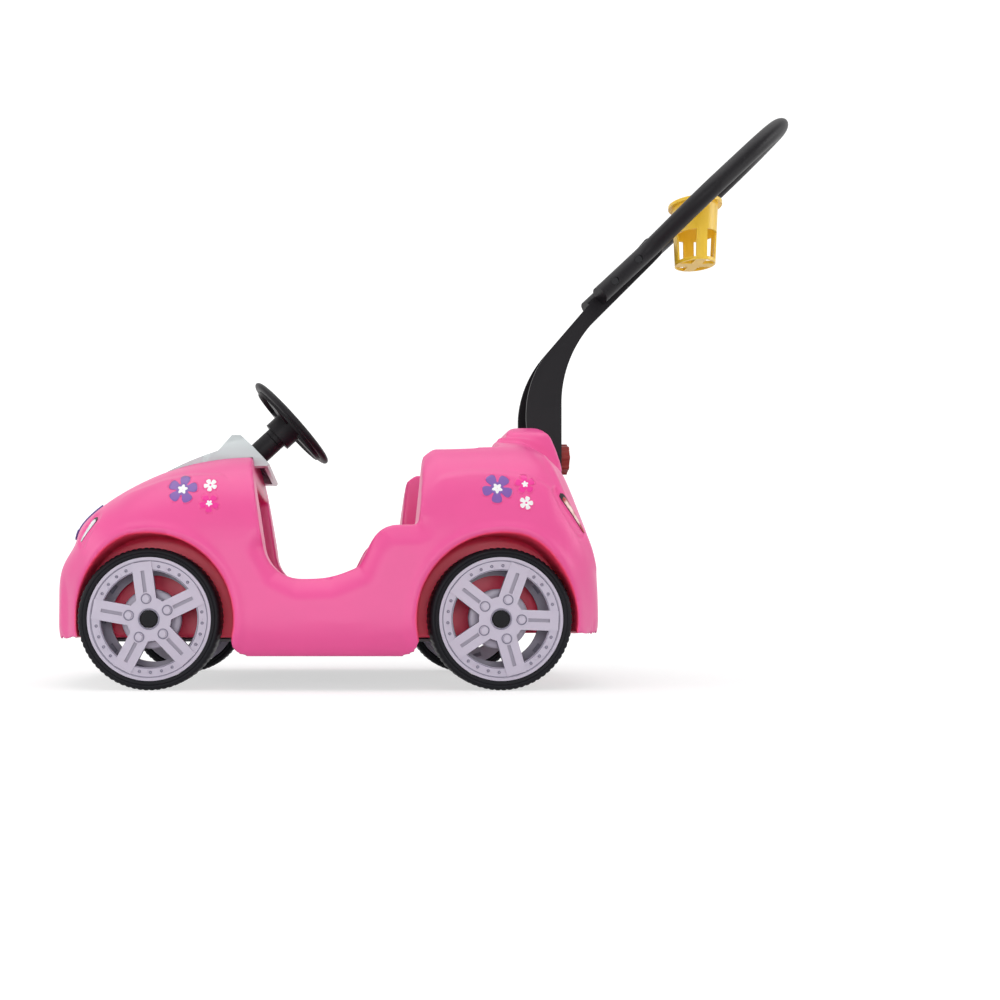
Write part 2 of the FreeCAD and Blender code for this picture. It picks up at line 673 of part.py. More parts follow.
def pan_counterbores():
    """Recesses that take the screw heads flush into the pan."""
    return [
        Part.makeCylinder(SCREW_HEAD_R + SEAT_FIT, SCREW_HEAD, V(x, y, PAN_LOW_Z))
        for x, y in pan_screw_places()
    ]


def under_pan():
    top = PAN_LOW_Z + PAN_THICK
    plate = box(PAN_FRONT_X, PAN_REAR_X, -PAN_HALF, PAN_HALF, PAN_LOW_Z, top)
    wing = HALF_WIDTH - PAN_WING_INSET
    clear = ARCH_R + BODY_WALL + PAN_GAP
    wings = box(FRONT_AXLE_X + clear, REAR_AXLE_X - clear, -wing, wing, PAN_LOW_Z, top)
    holes = pan_pilot_holes() + pan_counterbores()
    return plate.fuse(wings).cut(holes + [handle_slot(BODY_WALL + PAN_GAP)]).removeSplitter()


def pan_screws():
    screws = []
    for x, y in pan_screw_places():
        shank = Part.makeCylinder(SCREW_R, SCREW_LENGTH, V(x, y, PAN_LOW_Z))
        head = Part.makeCylinder(SCREW_HEAD_R, SCREW_HEAD, V(x, y, PAN_LOW_Z))
        screws.append(shank.fuse(head))
    return screws


# Wheels: built on the left at the axle's middle, outer side to -Y

def tyre():
    section = [
        (RIM_R + SEAT_FIT, -WHEEL_FACE_Y + RIM_STEP, 0),
        (WHEEL_R - TREAD_EDGE, -WHEEL_FACE_Y, WALL_ROUND),
        (WHEEL_R, -WHEEL_FACE_Y + TREAD_EDGE, TREAD_ROUND),
        (WHEEL_R, -TYRE_IN_Y - TREAD_EDGE, TREAD_ROUND),
        (WHEEL_R - TREAD_EDGE, -TYRE_IN_Y, WALL_ROUND),
        (RIM_R + SEAT_FIT, -TYRE_IN_Y - RIM_STEP, 0),
    ]
    face = Part.Face(rounded_wire(section))
    face.rotate(V(0, 0, 0), V(1, 0, 0), -90)
    return face.revolve(V(0, 0, 0), ALONG_Y, 360)


def ring_y(outer, inner, y0, y1):
    return cylinder_y(0, 0, outer, y0, y1).cut(cylinder_y(0, 0, inner, y0, y1))


def turned(shape, angle):
    """Copy turned about the wheel's axis, counted from +X towards +Z."""
    copy = shape.copy()
    copy.rotate(V(0, 0, 0), ALONG_Y, -angle)
    return copy


def wheel_face(spoke_angle):
    outer = -WHEEL_FACE_Y + FACE_INSET
    inner = face_back()
    face = ring_y(RIM_R, WINDOW_R, outer + RIM_STEP, inner)
    face = face.fuse(ring_y(RIM_R, RIM_R - RIM_LIP, outer, inner))
    face = face.fuse(cylinder_y(0, 0, HUB_DISC_R, outer, inner))
    grooves = []
    raised = []
    for i in range(SPOKES):
        angle = spoke_angle + i * 360 / SPOKES
        spoke = box(0, WINDOW_R + SPOKE_LAP, outer, inner, -SPOKE_WIDTH / 2, SPOKE_WIDTH / 2)
        face = face.fuse(turned(spoke, angle))
        start = LUG_RING_R + 2 * LUG_R
        groove = box(start, WINDOW_R, outer - 1, outer + GROOVE_DEPTH, -SPOKE_GROOVE / 2, SPOKE_GROOVE / 2)
        grooves.append(turned(groove, angle))
        lug = cylinder_y(LUG_RING_R, 0, LUG_R, outer - LUG_RISE, outer + 1)
        raised.append(turned(lug, angle))
        for offset in (-RIVET_SPREAD, RIVET_SPREAD):
            rivet = cylinder_y(RIVET_RING_R, 0, RIVET_R, outer + RIM_STEP - RIVET_RISE, inner)
            raised.append(turned(rivet, angle + 180 / SPOKES + offset))
    recess = cylinder_y(0, 0, CAP_R + CAP_GAP, outer - 1, inner - CAP_FLOOR)
    bore = cylinder_y(0, 0, BUSH_R + SEAT_FIT, outer, inner + 1)
    return face.cut(grooves).fuse(raised).cut([recess, bore]).removeSplitter()


def face_back():
    """Y where the two halves of a wheel meet."""
    return -WHEEL_FACE_Y + FACE_INSET + FACE_THICK


def wheel_back(spoke_angle):
    """Inner half: barrel, slotted ring, and a hub carried by webs behind the spokes."""
    face_in = face_back()
    back = -TYRE_IN_Y - RIM_STEP
    shape = ring_y(RIM_R, RIM_R - BARREL_WALL, face_in, back)
    ring = ring_y(RIM_R, BACK_RING_R, back - BARREL_WALL, back)
    drum = cylinder_y(0, 0, DRUM_R, face_in, face_in + DRUM_DEPTH)
    hub = cylinder_y(0, 0, HUB_R, face_in, washer_face())
    shape = shape.fuse([ring, drum, hub])
    web_half = SPOKE_WIDTH / 2 - WEB_INSET
    for i in range(SPOKES):
        web = box(HUB_R, RIM_R - BARREL_WALL / 2, face_in, face_in + WEB_DEPTH, -web_half, web_half)
        shape = shape.fuse(turned(web, spoke_angle + i * 360 / SPOKES))
    slots = []
    for i in range(SLOT_COUNT):
        inner = SLOT_RING_R - SLOT_WIDTH / 2
        slot = box(inner, inner + SLOT_WIDTH, back - 2 * BARREL_WALL, back + 1,
                   -SLOT_LENGTH / 2, SLOT_LENGTH / 2)
        slots.append(turned(slot, i * 360 / SLOT_COUNT))
    bore = cylinder_y(0, 0, BUSH_R + SEAT_FIT, face_in, washer_face())
    return shape.cut(slots + [bore]).removeSplitter()


def hub_bush():
    return ring_y(BUSH_R, AXLE_R + RUNNING_FIT, face_back() - CAP_FLOOR, washer_face())


def washer_face():
    """Y of the washers' outer face, which the hub turns against."""
    return -TYRE_IN_Y + RIM_STEP


def axle_washer():
    return ring_y(WASHER_R, AXLE_R + SEAT_FIT, washer_face() + WHEEL_GAP, -WELL_WALL_Y)


def axle_cap():
    inner = face_back() - CAP_FLOOR - WHEEL_GAP
    outer = inner - CAP_THICK
    cap = cylinder_y(0, 0, CAP_R, outer, inner)
    return cap.cut(cylinder_y(0, 0, AXLE_R + SEAT_FIT, outer + CAP_END, inner))


def axle(x):
    cap_outer = face_back() - CAP_FLOOR - WHEEL_GAP - CAP_THICK
    half = -cap_outer - CAP_END - SEAT_FIT
    return cylinder_y(x, WHEEL_R, AXLE_R, -half, half)


def placed(shape, x, side):
    copy = shape.copy() if side == "left" else shape.mirror(V(0, 0, 0), ALONG_Y)
    copy.translate(V(x, 0, WHEEL_R))
    return copy


def export_wheels():
    washers = []
    caps = []
    ends = (("front", FRONT_AXLE_X, FRONT_SPOKE_ANGLE), ("rear", REAR_AXLE_X, REAR_SPOKE_ANGLE))
    for end, x, spoke_angle in ends:
        pieces = {
            "tyre": tyre(),
            "wheel_face": wheel_face(spoke_angle),
            "wheel_back": wheel_back(spoke_angle),
            "hub_bush": hub_bush(),
        }
        for side in ("left", "right"):
            for name, shape in pieces.items():
                export(end + "_" + side + "_" + name, placed(shape, x, side))
            washers.append(placed(axle_washer(), x, side))
            caps.append(placed(axle_cap(), x, side))
        export(end + "_axle", axle(x))
    export("axle_washers", *washers)
    export("axle_caps", *caps)


# Dashboard and steering: turned pieces are built along +X and then tilted onto the column

def dash_outline(wall):
    return [
        (DASH_FRONT_X, crown_at(DASH_FRONT_X) - DASH_SKIRT - wall, 0),
        (DASH_FRONT_X, crown_at(DASH_FRONT_X) + DASH_FRONT_RISE - wall, 0),
        (DASH_RIDGE_X - DASH_SLOPE_RUN, DASH_RIDGE_Z - DASH_SLOPE_FALL - wall, 0),
        (DASH_RIDGE_X + DASH_RIDGE_LAP - wall, DASH_RIDGE_Z - 1.4 * wall, 0),
        (DASH_REAR_X + DASH_RIDGE_LAP - 1.5 * wall, DASH_REAR_Z, 0),
        (DASH_REAR_X - DASH_LIP_RUN - wall, DASH_REAR_Z - DASH_LIP_DROP, 0),
    ]


def column_base():
    """Middle of the dashboard's rear face, where the column stands."""
    return V((DASH_RIDGE_X + DASH_REAR_X) / 2, 0, (DASH_RIDGE_Z + DASH_REAR_Z) / 2)


def dash_rear_plane():
    """Block behind the dashboard's rear face, square to the column."""
    return on_column(box(0, FAR_Y, -FAR_Y, FAR_Y, -FAR_Y, FAR_Y))


def on_column(shape):
    copy = shape.copy()
    copy.rotate(V(0, 0, 0), ALONG_Y, -COLUMN_TILT)
    copy.translate(column_base())
    return copy


def dash_panel(block):
    low = DASH_REAR_Z - 2 * DASH_LIP_DROP
    low_half = DASH_HALF + DASH_LIP_DROP
    top_half = low_half - DASH_END_RUN
    ends = [
        (-low_half, low, 0),
        (-top_half, DASH_RIDGE_Z + 2, DASH_END_R),
        (top_half, DASH_RIDGE_Z + 2, DASH_END_R),
        (low_half, low, 0),
    ]
    front = Part.Face(rounded_wire(ends))
    front.rotate(V(0, 0, 0), V(0, 0, 1), 90)
    front.translate(V(DASH_FRONT_X - DASH_WALL, 0, 0))
    outer = prism(dash_outline(0), -DASH_HALF, DASH_HALF)
    outer = outer.common(front.extrude(V(FAR_Y, 0, 0)))
    inner_half = DASH_HALF - DASH_END_WALL
    inner = prism(dash_outline(DASH_WALL), -inner_half, inner_half)
    behind = dash_rear_plane()
    wall = behind.copy()
    wall.translate(V(-1, 0, 0) * (DASH_WALL / math.cos(math.radians(COLUMN_TILT))))
    bonnet = both_sides(block.cut(doorway()))
    shape = outer.cut([behind, *bonnet]).cut(inner.cut(wall))
    shaft_hole = along_x(SHAFT_R + RUNNING_FIT, -2 * SHAFT_TAIL, 2 * SHAFT_TAIL)
    hood_rear = box(DOOR_FRONT_X - DOOR_LEAN - 1, 0, -FAR_Y, FAR_Y, 0, DASH_REAR_Z - DASH_FOOT)
    return shape.cut([on_column(shaft_hole), hood_rear])


def along_x(radius, x0, x1):
    return Part.makeCylinder(radius, x1 - x0, V(x0, 0, 0), V(1, 0, 0))


def column_sleeve():
    sleeve = along_x(SLEEVE_R, 0, SLEEVE_LENGTH)
    return on_column(sleeve.cut(along_x(SHAFT_R + RUNNING_FIT, -1, SLEEVE_LENGTH + 1)))


def hub_start():
    return SLEEVE_LENGTH + WHEEL_GAP


def steering_shaft():
    return on_column(along_x(SHAFT_R, -SHAFT_TAIL, hub_start() + SHAFT_IN_WHEEL))


def shaft_collar():
    end = -DASH_WALL - WHEEL_GAP
    collar = along_x(COLLAR_R, end - COLLAR_THICK, end)
    return on_column(collar.cut(along_x(SHAFT_R + SEAT_FIT, end - COLLAR_THICK - 1, end + 1)))


def steering_wheel():
    start = hub_start()
    plane = start + STEER_DISH
    rim = Part.makeTorus(STEER_R, STEER_RIM_R, V(plane, 0, 0), V(1, 0, 0))
    top = plane + STEER_HUB_RISE
    shape = along_x(STEER_HUB_R, start + STEER_NECK, top)
    shape = shape.fuse([along_x(SLEEVE_R, start, start + STEER_NECK + 1), rim])
    for i in range(STEER_SPOKES):
        spoke = box(
            top - STEER_SPOKE_THICK, top,
            -STEER_SPOKE_WIDTH / 2, STEER_SPOKE_WIDTH / 2,
            STEER_HUB_R - STEER_SPOKE_LAP, STEER_R,
        )
        spoke.rotate(V(0, 0, 0), V(1, 0, 0), 180 + i * 360 / STEER_SPOKES)
        shape = shape.fuse(spoke)
    socket = along_x(SHAFT_R + SEAT_FIT, start - 1, start + SHAFT_IN_WHEEL)
    pocket = along_x(HORN_R + HORN_FIT, horn_back() - HORN_TRAVEL - HORN_SPARE, top)
    return on_column(shape.cut([socket, pocket]))


def horn_back():
    """Place of the button's inner face along the column."""
    return hub_start() + STEER_DISH + STEER_HUB_RISE + HORN_RISE - HORN_THICK


def horn_button():
    return on_column(along_x(HORN_R, horn_back(), horn_back() + HORN_THICK))


# Push handle

def stem_front_x(z):
    """Front edge of the stem's straight lower part."""
    return PIVOT_X - STEM_FRONT - (z - PIVOT_Z) * math.tan(math.radians(STEM_LEAN))


def stem_corners():
    end = loop_point(STEM_END, 0)
    tilt = math.radians(LOOP_TILT)
    out_x = STEM_END_HALF * math.sin(tilt)
    out_z = STEM_END_HALF * math.cos(tilt)
    heel = PIVOT_Z - STEM_HEEL
    return [
        (stem_front_x(heel), heel, STEM_HEEL_R),
        (stem_front_x(STEM_BEND_Z), STEM_BEND_Z, STEM_BEND_R),
        (end.x - out_x, end.z + out_z, STEM_EDGE_R),
        (end.x + out_x, end.z - out_z, STEM_EDGE_R),
        (STEM_REAR_X, STEM_BEND_Z + STEM_BACK_BEND, STEM_BACK_BEND_R),
        (STEM_REAR_X, PIVOT_Z + STEM_FOOT_RISE, STEM_FOOT_R),
        (PIVOT_X + EYE_R - 2, PIVOT_Z + STEM_EYE_RISE, STEM_EYE_R),
        (PIVOT_X + EYE_R / 2, PIVOT_Z - EYE_R, STEM_EDGE_R),
    ]


def stem_front_view(inset):
    """Outline of the stem seen from the front, carried through its whole depth."""
    low = STEM_HALF - inset
    top = STEM_TOP_HALF - inset
    right = [(low, 0), (low, STEM_NARROW_Z), (top, STEM_TOP_NARROW_Z), (top, LOOP_Z + LOOP_HALF)]
    corners = [(-y, z, 0) for y, z in right] + [(y, z, 0) for y, z in reversed(right)]
    face = Part.Face(rounded_wire(corners))
    face.rotate(V(0, 0, 0), V(0, 0, 1), 90)
    face.translate(V(stem_front_x(LOOP_Z) - LOOP_HALF, 0, 0))
    return face.extrude(V(2 * LOOP_LENGTH, 0, 0))


def stem_channel():
    """Hollow of the stem, open to the front, with solid ends and a post for the stud."""
    channel = prism(stem_corners(), -STEM_HALF, STEM_HALF, -STEM_WALL)
    channel.translate(V(-STEM_WALL - STEM_OPEN, 0, 0))
    foot = PIVOT_Z + 2 * EYE_R
    room = box(0, LOOP_X, -STEM_HALF, STEM_HALF, foot, STEM_TOP_NARROW_Z - 2 * STEM_WALL)
    post = along_x(2 * STUD_R, 0, LOOP_X)
    post.translate(V(0, 0, KNOB_Z))
    return channel.common(room).common(stem_front_view(STEM_WALL)).cut(post)


def handle_stem():
    side = prism(stem_corners(), -STEM_HALF, STEM_HALF)
    shape = side.common(stem_front_view(0)).cut(stem_channel())
    shape = shape.fuse(cylinder_y(PIVOT_X, PIVOT_Z, EYE_R, -STEM_HALF, STEM_HALF))
    rod_bore = cylinder_y(PIVOT_X, PIVOT_Z, PIVOT_R + RUNNING_FIT, -STEM_HALF, STEM_HALF)
    stud_bore = along_x(STUD_R + RUNNING_FIT, lock_wall_x(), STEM_REAR_X + KNOB_THICK)
    stud_bore.translate(V(0, 0, KNOB_Z))
    return shape.cut([rod_bore, stud_bore] + bolt_holes()).removeSplitter()


def loop_point(along, across):
    tilt = math.radians(LOOP_TILT)
    return V(LOOP_X + along * math.cos(tilt), across, LOOP_Z + along * math.sin(tilt))


def in_loop_plane(shape):
    """Carries a shape drawn with X along the loop and Z across it onto the handle."""
    copy = shape.copy()
    copy.rotate(V(0, 0, 0), V(1, 0, 0), 90)
    copy.rotate(V(0, 0, 0), ALONG_Y, -LOOP_TILT)
    copy.translate(V(LOOP_X, 0, LOOP_Z))
    return copy


def loop_path():
    """Middle line of the grip: two legs, two flared arms, two bars and a round end."""
    corners = [
        (-LOOP_LEG, LOOP_LEG_Y, 0),
        (LOOP_FLARE_AT, LOOP_LEG_Y, LOOP_FLARE_R),
        (LOOP_WIDE_AT, LOOP_HALF, LOOP_WIDE_R),
        (LOOP_LENGTH, LOOP_HALF, LOOP_END_R),
        (LOOP_LENGTH, -LOOP_HALF, LOOP_END_R),
        (LOOP_WIDE_AT, -LOOP_HALF, LOOP_WIDE_R),
        (LOOP_FLARE_AT, -LOOP_LEG_Y, LOOP_FLARE_R),
        (-LOOP_LEG, -LOOP_LEG_Y, 0),
    ]
    edges = rounded_wire(corners).Edges
    open_run = [e for e in edges if abs(e.BoundBox.XMax + LOOP_LEG) > 1e-3]
    return Part.Wire(Part.__sortEdges__(open_run))


def bar_run(shrink):
    """The grip's oval bar along the whole path, thinner by shrink all round."""
    ellipse = Part.Ellipse(V(0, 0, 0), BAR_WIDE / 2 - shrink, BAR_THICK / 2 - shrink).toShape()
    ellipse.rotate(V(0, 0, 0), V(0, 0, 1), 90)
    ellipse.rotate(V(0, 0, 0), ALONG_Y, 90)
    ellipse.rotate(V(0, 0, 0), V(1, 0, 0), 90)
    ellipse.translate(V(-LOOP_LEG, 0, LOOP_LEG_Y))
    return loop_path().makePipeShell([Part.Wire(ellipse)], True, False)


def handle_loop():
    legs = box(-2 * LOOP_LEG, BAR_HOLLOW_AT, -BAR_THICK, BAR_THICK, -LOOP_HALF, LOOP_HALF)
    bar = in_loop_plane(bar_run(0).cut(bar_run(BAR_WALL).cut(legs)))
    gap = STEM_TOP_HALF + SEAT_FIT
    between = box(STEM_REAR_X, loop_point(LOOP_WIDE_AT, 0).x, -gap, gap, STEM_NARROW_Z,
                  loop_point(LOOP_WIDE_AT, 0).z)
    axis = loop_point(CUP_AT, 0)
    reach = LOOP_HALF - BAR_WIDE / 2 + PIN_LENGTH + 1
    sockets = cylinder_y(axis.x, axis.z, PIN_R + RUNNING_FIT, -reach, reach)
    return bar.cut([between, sockets] + bolt_holes() + bolt_pockets())


def bolt_holes():
    holes = []
    for along in BOLT_PLACES:
        place = loop_point(along, 0)
        holes.append(cylinder_y(place.x, place.z, BOLT_R + SEAT_FIT, -FAR_Y, FAR_Y))
    return holes


def bolt_pockets():
    pockets = []
    for along in BOLT_PLACES:
        place = loop_point(along, 0)
        pocket = cylinder_y(place.x, place.z, BOLT_HEAD_R + BOLT_GAP, BOLT_SEAT_Y, FAR_Y)
        pockets += both_sides(pocket)
    return pockets


def handle_bolts():
    bolts = []
    for along in BOLT_PLACES:
        place = loop_point(along, 0)
        head = cylinder_y(place.x, place.z, BOLT_HEAD_R, -BOLT_SEAT_Y - BOLT_HEAD, -BOLT_SEAT_Y)
        shank = cylinder_y(place.x, place.z, BOLT_R, -BOLT_SEAT_Y, BOLT_SEAT_Y + BOLT_HEAD)
        bolts.append(head.fuse(shank))
    return bolts


def handle_nuts():
    nuts = []
    for along in BOLT_PLACES:
        place = loop_point(along, 0)
        hexagon = Part.makePolygon([
            V(place.x + BOLT_HEAD_R * math.cos(math.radians(60 * i)), BOLT_SEAT_Y,
              place.z + BOLT_HEAD_R * math.sin(math.radians(60 * i)))
            for i in range(7)
        ])
        nut = Part.Face(hexagon).extrude(V(0, BOLT_HEAD, 0))
        nuts.append(nut.cut(cylinder_y(place.x, place.z, BOLT_R + SEAT_FIT, 0, FAR_Y)))
    return nuts


def pivot_rod():
    half = pivot_rod_half() - WHEEL_GAP
    return cylinder_y(PIVOT_X, PIVOT_Z, PIVOT_R, -half, half)


# Lock knob: the stud runs forward through the stem into the nut in the body

def knob_face_x():
    return STEM_REAR_X + LOCK_WASHER_THICK + 2 * SEAT_FIT


def lock_washer():
    ring = along_x(LOCK_WASHER_R, STEM_REAR_X + SEAT_FIT, STEM_REAR_X + SEAT_FIT + LOCK_WASHER_THICK)
    ring = ring.cut(along_x(STUD_R + RUNNING_FIT, STEM_REAR_X, knob_face_x()))
    ring.translate(V(0, 0, KNOB_Z))
    return ring


def lock_knob():
    start = knob_face_x()
    knob = along_x(KNOB_R - KNOB_LOBE_R / 2, start, start + KNOB_THICK)
    for i in range(KNOB_LOBES):
        angle = 2 * math.pi * i / KNOB_LOBES
        lobe = along_x(KNOB_LOBE_R, start, start + KNOB_THICK)
        spread = KNOB_R - KNOB_LOBE_R
        lobe.translate(V(0, spread * math.cos(angle), spread * math.sin(angle)))
        knob = knob.fuse(lobe)
    socket = along_x(STUD_R + SEAT_FIT, start, start + KNOB_THICK - KNOB_END)
    knob = knob.cut(socket).removeSplitter()
    knob.translate(V(0, 0, KNOB_Z))
    return knob


def lock_stud():
    tip = lock_wall_x() - STUD_POINT
    rod = along_x(STUD_R, tip + STUD_POINT, knob_face_x() + KNOB_THICK - KNOB_END - SEAT_FIT)
    cone = Part.makeCone(STUD_TIP_R, STUD_R, STUD_POINT, V(tip, 0, 0), V(1, 0, 0))
    stud = rod.fuse(cone)
    stud.translate(V(0, 0, KNOB_Z))
    return stud


def lock_nut():
    end = lock_wall_x() - NUT_SINK
    start = lock_wall_x() - NUT_LENGTH
    nut = along_x(NUT_R, start, end)
    mouth = Part.makeCone(NUT_BORE_R, NUT_CONE_R, NUT_CONE, V(end - NUT_CONE, 0, 0), V(1, 0, 0))
    nut = nut.cut([along_x(NUT_BORE_R, start, end), mouth])
    nut.translate(V(0, 0, KNOB_Z))
    return nut


# Cup holder

def cup_holder():
    axis = loop_point(CUP_AT, 0)
    top = axis.z + CUP_RIM_RISE
    low = top - CUP_DEPTH
    wall = Part.makeCone(CUP_LOW_R, CUP_TOP_R, CUP_DEPTH, V(axis.x, 0, low))
    hollow = Part.makeCone(CUP_LOW_R - CUP_WALL, CUP_TOP_R - CUP_WALL, CUP_DEPTH, V(axis.x, 0, low))
    rim = Part.makeCylinder(CUP_RIM_R, CUP_RIM_THICK, V(axis.x, 0, top - CUP_RIM_THICK))
    ears = box(axis.x - EAR_WIDTH / 2, axis.x + EAR_WIDTH / 2, -ear_end(), ear_end(),
               axis.z - EAR_THICK / 2, axis.z + EAR_THICK / 2)
    pin_end = ear_end() + EAR_GAP + PIN_LENGTH
    pins = cylinder_y(axis.x, axis.z, PIN_R, -pin_end, pin_end)
    shape = wall.fuse([rim, ears, pins]).cut(hollow)
    gap = 2 * CUP_RIM_R
    legs_top = top - CUP_BAND
    for quarter in range(4):
        window = box(CUP_LEG_WIDTH / 2, gap, CUP_LEG_WIDTH / 2, gap, low + CUP_CROSS_THICK, legs_top)
        window.rotate(V(0, 0, 0), V(0, 0, 1), 90 * quarter)
        window.translate(V(axis.x, 0, 0))
        shape = shape.cut(window)
    for turn in (0, 90):
        bar = box(-CUP_LOW_R, CUP_LOW_R, -CUP_LEG_WIDTH / 2, CUP_LEG_WIDTH / 2, low, low + CUP_CROSS_THICK)
        bar.rotate(V(0, 0, 0), V(0, 0, 1), turn)
        bar.translate(V(axis.x, 0, 0))
        shape = shape.fuse(bar.common(Part.makeCylinder(CUP_LOW_R, CUP_DEPTH, V(axis.x, 0, low))))
    return shape.removeSplitter()


def ear_end():
    return LOOP_HALF - BAR_WIDE / 2 - EAR_GAP


# Lamps, grille and stickers: thin pieces that follow the body's surface

def on_skin(shape, cover, block):
    """The part of a shape between the body's surface and a slightly larger cover."""
    return shape.common(cover).cut(block)


def lamp(cover, block, x, z, run, rise):
    """Slanting slit with round ends on the outer corner of the body."""
    length = math.hypot(run, rise)
    run_x = run / length
    run_z = rise / length
    half = LAMP_WIDTH / 2
    corners = []
    for end_x, end_z, way in ((x, z, -1), (x + run, z + rise, 1)):
        for side in (-way, way):
            corners.append((end_x + half * (way * run_x - side * run_z),
                            end_z + half * (way * run_z + side * run_x), half * 0.9))
    slit = prism(corners, SLOT_HALF, FAR_Y)
    return both_sides(on_skin(slit, cover, block))


def grille(cover, block):
    corners = [
        (-GRILLE_LOW_HALF, GRILLE_LOW_Z, GRILLE_LOW_R),
        (GRILLE_LOW_HALF, GRILLE_LOW_Z, GRILLE_LOW_R),
        (GRILLE_TOP_HALF, GRILLE_TOP_Z, GRILLE_TOP_R),
        (-GRILLE_TOP_HALF, GRILLE_TOP_Z, GRILLE_TOP_R),
    ]
    face = Part.Face(rounded_wire(corners))
    face.rotate(V(0, 0, 0), V(0, 0, 1), 90)
    face.translate(V(NOSE_X - TRIM_THICK, 0, 0))
    return joined(on_skin(face.extrude(V(NOSE_RUN, 0, 0)), cover, block))


def petals(x, z, radius):
    shape = None
    for i in range(FLOWER_PETALS):
        angle = math.radians(90 + i * 360 / FLOWER_PETALS)
        petal_r = PETAL_SHARE * radius
        reach = radius - petal_r
        petal = cylinder_y(x + reach * math.cos(angle), z + reach * math.sin(angle), petal_r, 0, FAR_Y)
        shape = petal if shape is None else shape.fuse(petal)
    return shape.fuse(cylinder_y(x, z, PETAL_ROOT * radius, 0, FAR_Y))


def flower_places():
    """Middle and radius of every flower on one side of the car."""
    front_x = FRONT_AXLE_X + FRONT_FLOWER_AFT
    rear_x = REAR_AXLE_X + REAR_FLOWER_AFT
    spots = (
        (front_x, FLOWER_SMALL_R, FLOWER_MID_R),
        (rear_x, FLOWER_MID_R, FLOWER_SMALL_R),
    )
    places = []
    for x, upper, lower in spots:
        places.append((x, FLOWER_Z, FLOWER_R))
        places.append((x + FLOWER_STEP, FLOWER_Z + FLOWER_UP, upper))
        places.append((x + FLOWER_STEP, FLOWER_Z - FLOWER_DOWN, lower))
    return places


def export_flowers(block):
    """Five-petal flowers of three colours, each round a small heart of the same shape."""
    rings = {FLOWER_R: [], FLOWER_MID_R: [], FLOWER_SMALL_R: []}
    hearts = {FLOWER_R: [], FLOWER_MID_R: [], FLOWER_SMALL_R: []}
    cover = half_block(STICKER_THICK)
    for x, z, radius in flower_places():
        heart = petals(x, z, FLOWER_HEART * radius)
        ring = petals(x, z, radius).cut(heart)
        rings[radius] += both_sides(on_skin(ring, cover, block))
        hearts[radius] += both_sides(on_skin(heart, cover, block))
    export("petals_purple", *rings[FLOWER_R])
    export("petals_pink", *rings[FLOWER_MID_R])
    export("petals_white", *rings[FLOWER_SMALL_R])
    export("hearts_white", *hearts[FLOWER_R], *hearts[FLOWER_MID_R])
    export("hearts_pink", *hearts[FLOWER_SMALL_R])


def export_trims(block):
    cover = half_block(TRIM_THICK)
    head_x = NOSE_X + HEADLAMP_BACK
    tail_x = TAIL_X - TAIL_LAMP_AHEAD
    head = lamp(cover, block, head_x, HEADLAMP_Z, HEADLAMP_RUN, HEADLAMP_RISE)
    tail = lamp(cover, block, tail_x, TAIL_LAMP_Z, TAIL_LAMP_RUN, TAIL_LAMP_RISE)
    export("headlamps", *head)
    export("tail_lamps", *tail)
    export("grille_plate", grille(cover, block))
    export_flowers(block)


def main():
    os.makedirs("parts", exist_ok=True)
    block = half_block(0)
    shell = body_shell(block)
    export("body_shell", shell)
    export("under_pan", under_pan())
    export("pan_screws", *pan_screws())
    export_wheels()
    export("dash_panel", dash_panel(block))
    export("column_sleeve", column_sleeve())
    export("steering_shaft", steering_shaft())
    export("shaft_collar", shaft_collar())
    export("steering_wheel", steering_wheel())
    export("horn_button", horn_button())
    export("handle_stem", handle_stem())
    export("handle_loop", handle_loop())
    export("handle_bolts", *handle_bolts())
    export("handle_nuts", *handle_nuts())
    export("pivot_rod", pivot_rod())
    export("lock_washer", lock_washer())
    export("lock_knob", lock_knob())
    export("lock_stud", lock_stud())
    export("lock_nut", lock_nut())
    export("cup_holder", cup_holder())
    export_trims(block)


main()
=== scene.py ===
import json
import math
import bmesh
import bpy
import numpy as np
from mathutils import Matrix, Vector
from mathutils.bvhtree import BVHTree

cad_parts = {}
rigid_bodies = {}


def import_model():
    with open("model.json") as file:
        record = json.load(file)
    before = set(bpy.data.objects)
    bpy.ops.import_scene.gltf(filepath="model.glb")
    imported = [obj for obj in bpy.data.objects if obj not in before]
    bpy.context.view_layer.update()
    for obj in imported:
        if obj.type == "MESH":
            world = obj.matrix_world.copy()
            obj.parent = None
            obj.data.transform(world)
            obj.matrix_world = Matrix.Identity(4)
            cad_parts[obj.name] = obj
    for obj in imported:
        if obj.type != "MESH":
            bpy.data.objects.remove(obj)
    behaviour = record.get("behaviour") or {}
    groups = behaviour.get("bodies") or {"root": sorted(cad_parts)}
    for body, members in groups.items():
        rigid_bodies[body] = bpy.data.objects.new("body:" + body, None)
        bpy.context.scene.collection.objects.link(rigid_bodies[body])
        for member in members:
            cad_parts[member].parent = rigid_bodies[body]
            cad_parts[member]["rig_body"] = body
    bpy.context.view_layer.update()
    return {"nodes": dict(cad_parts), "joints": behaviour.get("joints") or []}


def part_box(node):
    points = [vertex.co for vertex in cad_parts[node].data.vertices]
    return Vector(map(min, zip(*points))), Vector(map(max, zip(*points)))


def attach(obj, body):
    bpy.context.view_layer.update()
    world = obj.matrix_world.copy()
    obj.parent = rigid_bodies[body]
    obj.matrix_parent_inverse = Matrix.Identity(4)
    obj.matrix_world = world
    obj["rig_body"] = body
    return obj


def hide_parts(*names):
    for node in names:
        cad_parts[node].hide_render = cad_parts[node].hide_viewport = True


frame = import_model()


# Body: one hollow polyethylene moulding in pink, with soft edges all round, a rounded shoulder
# along the sills, a raised line on each wing and a rolled lip round each wheel arch. The wheel
# wells carry a crimson tint that is painted shade.

nodes = frame["nodes"]


